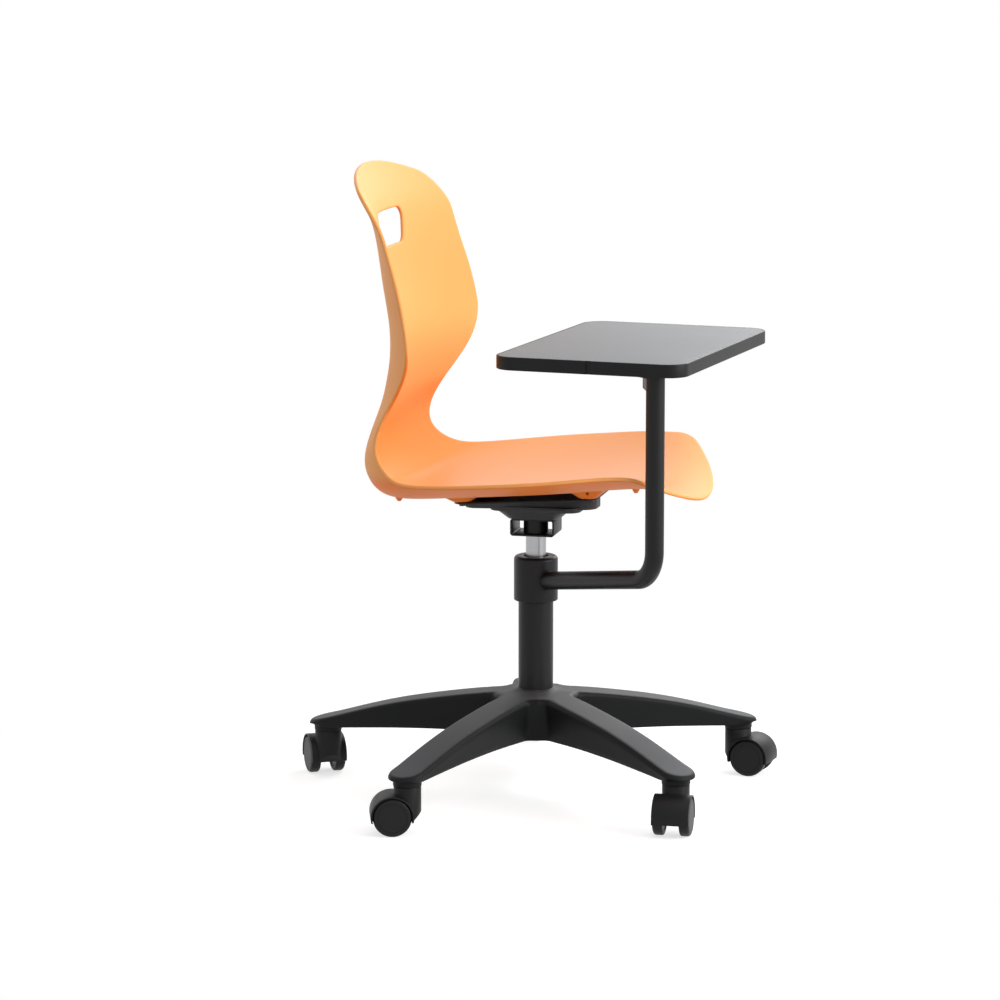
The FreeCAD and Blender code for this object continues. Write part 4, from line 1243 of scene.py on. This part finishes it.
def makeCollar(sizes):
    radius, low, high, bore = sizes["radius"], sizes["low"], sizes["high"], sizes["bore"]
    top, foot, mouth, lip = sizes["topRound"], sizes["footRound"], sizes["mouth"], sizes["mouthLip"]
    out = [(bore, low)]
    out += [(radius - foot + foot * sine, low + foot - foot * cosine) for cosine, sine in quarter(5)]
    out += [(radius - top + top * cosine, high - top + top * sine) for cosine, sine in quarter(10)]
    out += [(mouth + lip, high), (mouth + 0.3 * lip, high - 0.3 * lip), (mouth, high - lip),
            (mouth, high - sizes["cap"]), (bore, high - sizes["cap"]), (bore, low)]
    piece = turnedPiece("armCollar", out, steps=sizes["sides"])
    sharpen(piece, 40)
    return piece


def armPath(sizes):
    rise = math.radians(sizes["rise"])
    turn = Matrix.Rotation(math.radians(sizes["heading"]), 3, "Z")
    cornerHeight = sizes["height"] + sizes["reach"] * math.tan(rise)
    setback = sizes["bend"] * math.tan((math.pi / 2 - rise) / 2)
    centre = Vector((sizes["reach"] - sizes["bend"], 0, cornerHeight + setback))
    path = [Vector((sizes["start"], 0, sizes["height"] + sizes["start"] * math.tan(rise)))]
    first = Vector((sizes["reach"] - setback * math.cos(rise), 0, cornerHeight - setback * math.sin(rise)))
    path += [path[0].lerp(first, share) for share in (0.25, 0.5, 0.75)]
    for k in range(sizes["bendSteps"] + 1):
        angle = (rise - math.pi / 2) * (1 - k / sizes["bendSteps"])
        path.append(centre + sizes["bend"] * Vector((math.cos(angle), 0, math.sin(angle))))
    top = Vector((sizes["reach"], 0, sizes["end"]))
    path += [path[-1].lerp(top, share) for share in (0.33, 0.67)] + [top]
    return [turn @ p for p in path]


def makeTube(sizes):
    piece = sweptTube("armTube", armPath(sizes), sizes["radius"], sizes["wall"], sizes["sides"])
    sharpen(piece, 50)
    return piece


def makeBead(sizes, radius):
    # A small weld bead where the tube meets the collar's round side.
    rise = math.radians(sizes["rise"])
    turn = Matrix.Rotation(math.radians(sizes["heading"]), 3, "Z")
    along = Vector((math.cos(rise), 0, math.sin(rise)))
    side = Vector((0, 1, 0))
    high = along.cross(side)
    steps = sizes["beadSteps"]
    rim = []
    for cosine, sine in circle(steps):
        out = side * cosine + high * sine
        start = Vector((0, 0, sizes["height"])) + out * sizes["radius"]
        # Where the line through this point meets the collar: a quadratic in the reach along it.
        a = along.x ** 2
        b = 2 * start.x * along.x
        c = start.x ** 2 + start.y ** 2 - radius ** 2
        reach = (-b + math.sqrt(b * b - 4 * a * c)) / (2 * a)
        rim.append((start + along * reach, out))
    points, rings = [], []
    for k, (here, out) in enumerate(rim):
        ahead = (rim[(k + 1) % steps][0] - rim[k - 1][0]).normalized()
        other = ahead.cross(out)
        size = sizes["bead"] * (1 + sizes["ripple"] * math.sin(sizes["ripples"] * full * k / steps))
        rings.append(addRing(points, [turn @ (here + out * (size * cosine) + other * (size * sine))
                                      for cosine, sine in circle(sizes["beadSides"])]))
    return makeObject("weldBead", points, stackFaces(rings + rings[:1]))


settle(makeCollar(collar), "arm", "black_paint", ["arm_collar"])
settle(makeTube(armTube), "arm", "black_paint", ["arm_tube"])
settle(makeBead(armTube, collar["radius"]), "arm", "black_paint")
print("collar and arm tube made")


# Writing tablet

tablet = {
    "width": 0.402,
    "depth": 0.266,
    "corner": 0.030,
    "cornerSteps": 16,
    "low": 0.615,
    "high": 0.633,
    "centre": (-0.0237, -0.1401),
    "turn": -7.2,
    "band": 0.0020,
    "bandRound": 0.0015,
    "reveal": 0.00025,
    "boardStep": 0.0001,
    "boardEdge": 0.0005,
    "jointGap": 0.0064,
    "jointDepth": 0.0017,
    "jointSlope": 0.0002,
    "jointAt": -0.0039,
}


def placeTablet(piece, sizes):
    piece.data.transform(Matrix.Translation((*sizes["centre"], 0))
                         @ Matrix.Rotation(math.radians(sizes["turn"]), 4, "Z"))
    return piece


def makeBoard(sizes):
    inset = sizes["band"] + sizes["reveal"]
    outline = roundedRing(sizes["width"] - 2 * inset, sizes["depth"] - 2 * inset, sizes["corner"] - inset,
                          sizes["cornerSteps"])
    board = raisedOutline("tabletBoard", outline, sizes["low"], sizes["high"] - sizes["boardStep"],
                          sizes["boardEdge"])
    sharpen(board, 30)
    return placeTablet(board, sizes)


def makeBand(sizes):
    # The band's section is carried round the outline and drawn in at the butt joint.
    outline = roundedRing(sizes["width"], sizes["depth"], sizes["corner"], sizes["cornerSteps"])
    x = -sizes["width"] / 2
    place = next(k for k in range(len(outline)) if outline[k].x < x + 1e-6 and outline[k].y > 0
                 and outline[(k + 1) % len(outline)].y < 0)
    half, deep, slope = sizes["jointGap"] / 2, sizes["jointDepth"], sizes["jointSlope"]
    joint = ((half + slope, 0.0), (half, deep), (-half, deep), (-half - slope, 0.0))
    stations = [(p, 0.0) for p in outline[:place + 1]]
    stations += [(Vector((x, sizes["jointAt"] + y)), inwards) for y, inwards in joint]
    stations += [(p, 0.0) for p in outline[place + 1:]]
    section = roundedLevels(sizes["low"], sizes["high"], sizes["bandRound"], 5)
    section += [(sizes["band"], sizes["high"]), (sizes["band"], sizes["low"])]
    points, rings = [], []
    for k, (p, inwards) in enumerate(stations):
        along = (stations[(k + 1) % len(stations)][0] - stations[k - 1][0]).normalized()
        out = Vector((along.y, -along.x))
        out = out if out.dot(p) >= 0 else -out
        spots = [(p - out * min(sizes["band"], inset + inwards), height) for inset, height in section]
        rings.append(addRing(points, [(q.x, q.y, height) for q, height in spots]))
    band = makeObject("tabletBand", points, stackFaces(rings + rings[:1]))
    sharpen(band, 35)
    return placeTablet(band, sizes)


settle(makeBoard(tablet), "arm", "tablet_laminate", ["tablet_board"])
settle(makeBand(tablet), "arm", "tablet_edge", ["tablet_edge_band"])
print("writing tablet made")


# Stage, lights and camera

stage = {
    "floorSize": 14.0,
    "floorColour": (0.56, 0.56, 0.56),
    "floorRoughness": 0.9,
    "lift": 0.66,
    "fadeStart": 0.36,
    "fadeEnd": 0.85,
    "skyStrength": 0.5,
    "camera": (-5.5538, -1.2314, 1.3793),
    "azimuth": -77.0,
    "elevation": 9.7,
    "lens": 151.2,
    "sensor": 36.0,
    "farthest": 60.0,
}
lamps = [
    {"name": "topSoftbox", "place": (-0.6, -0.9, 3.2), "aim": (0, 0, 0.4), "size": 2.6, "power": 12.0},
    {"name": "frontSoftbox", "place": (-0.5, -2.9, 1.6), "aim": (0, 0, 0.5), "size": 2.2, "power": 88.0},
    {"name": "farSoftbox", "place": (2.5, -0.7, 2.0), "aim": (0, 0, 0.5), "size": 2.0, "power": 50.0},
    {"name": "rearFill", "place": (1.6, 2.4, 1.9), "aim": (0, 0, 0.5), "size": 2.4, "power": 12.0},
]
plainWhite = (1, 1, 1, 1)


def makeStage(sizes):
    half = sizes["floorSize"] / 2
    corners = [(-half, -half, 0), (half, -half, 0), (half, half, 0), (-half, half, 0)]
    floor = makeObject("floor", corners, [(0, 1, 2, 3)])
    shader = newShader("paleFloor")
    shader.set(Base_Color=(*sizes["floorColour"], 1), Roughness=sizes["floorRoughness"], Specular_IOR_Level=0.0)
    shown = shader.shown()
    lift = shader.add("ShaderNodeEmission", inputs={"Color": plainWhite, "Strength": sizes["lift"] * shown})
    near = shader.add("ShaderNodeAddShader", inputs={0: Wire(shader, shader.main.outputs[0]), 1: lift})
    # Further out the floor fades to plain white for the rays that show it.
    reach = shader.add("ShaderNodeVectorMath", {"operation": "LENGTH"}, {0: shader.place()}, output="Value")
    fade = shader.ease(reach, sizes["fadeStart"], sizes["fadeEnd"])
    white = shader.add("ShaderNodeEmission", inputs={"Color": plainWhite, "Strength": 1.0})
    shader.put(shader.end.inputs["Surface"],
               shader.add("ShaderNodeMixShader", inputs={0: fade * shown, 1: near, 2: white}))
    floor.data.materials.append(shader.owner)


def makeSky(sizes):
    # Soft light from all round, and plain white for the rays that show it.
    sky = Shader(bpy.data.worlds.new("studio"))
    sky.set(Color=plainWhite, Strength=sizes["skyStrength"])
    white = sky.add("ShaderNodeBackground", inputs={"Color": plainWhite, "Strength": 1.0})
    sky.put(sky.end.inputs["Surface"],
            sky.add("ShaderNodeMixShader", inputs={0: sky.shown(), 1: Wire(sky, sky.main.outputs[0]), 2: white}))
    bpy.context.scene.world = sky.owner


def makeLamps():
    for lamp in lamps:
        data = bpy.data.lights.new(lamp["name"], "AREA")
        data.shape = "SQUARE"
        data.size = lamp["size"]
        data.energy = lamp["power"]
        light = bpy.data.objects.new(lamp["name"], data)
        light.location = lamp["place"]
        light.rotation_euler = (Vector(lamp["aim"]) - Vector(lamp["place"])).to_track_quat("-Z", "Y").to_euler()
        bpy.context.scene.collection.objects.link(light)


def makeCamera(sizes):
    data = bpy.data.cameras.new("camera")
    data.lens = sizes["lens"]
    data.sensor_width = sizes["sensor"]
    data.sensor_fit = "HORIZONTAL"
    data.clip_end = sizes["farthest"]
    camera = bpy.data.objects.new("camera", data)
    turn, tilt = math.radians(sizes["azimuth"]), math.radians(sizes["elevation"])
    back = Vector((math.sin(turn) * math.cos(tilt), -math.cos(turn) * math.cos(tilt), math.sin(tilt)))
    camera.location = sizes["camera"]
    camera.rotation_euler = (-back).to_track_quat("-Z", "Y").to_euler()
    bpy.context.scene.collection.objects.link(camera)
    bpy.context.scene.camera = camera


makeStage(stage)
makeSky(stage)
makeLamps()
makeCamera(stage)
bpy.context.scene.view_settings.view_transform = "Standard"
print("stage, lamps and camera set")
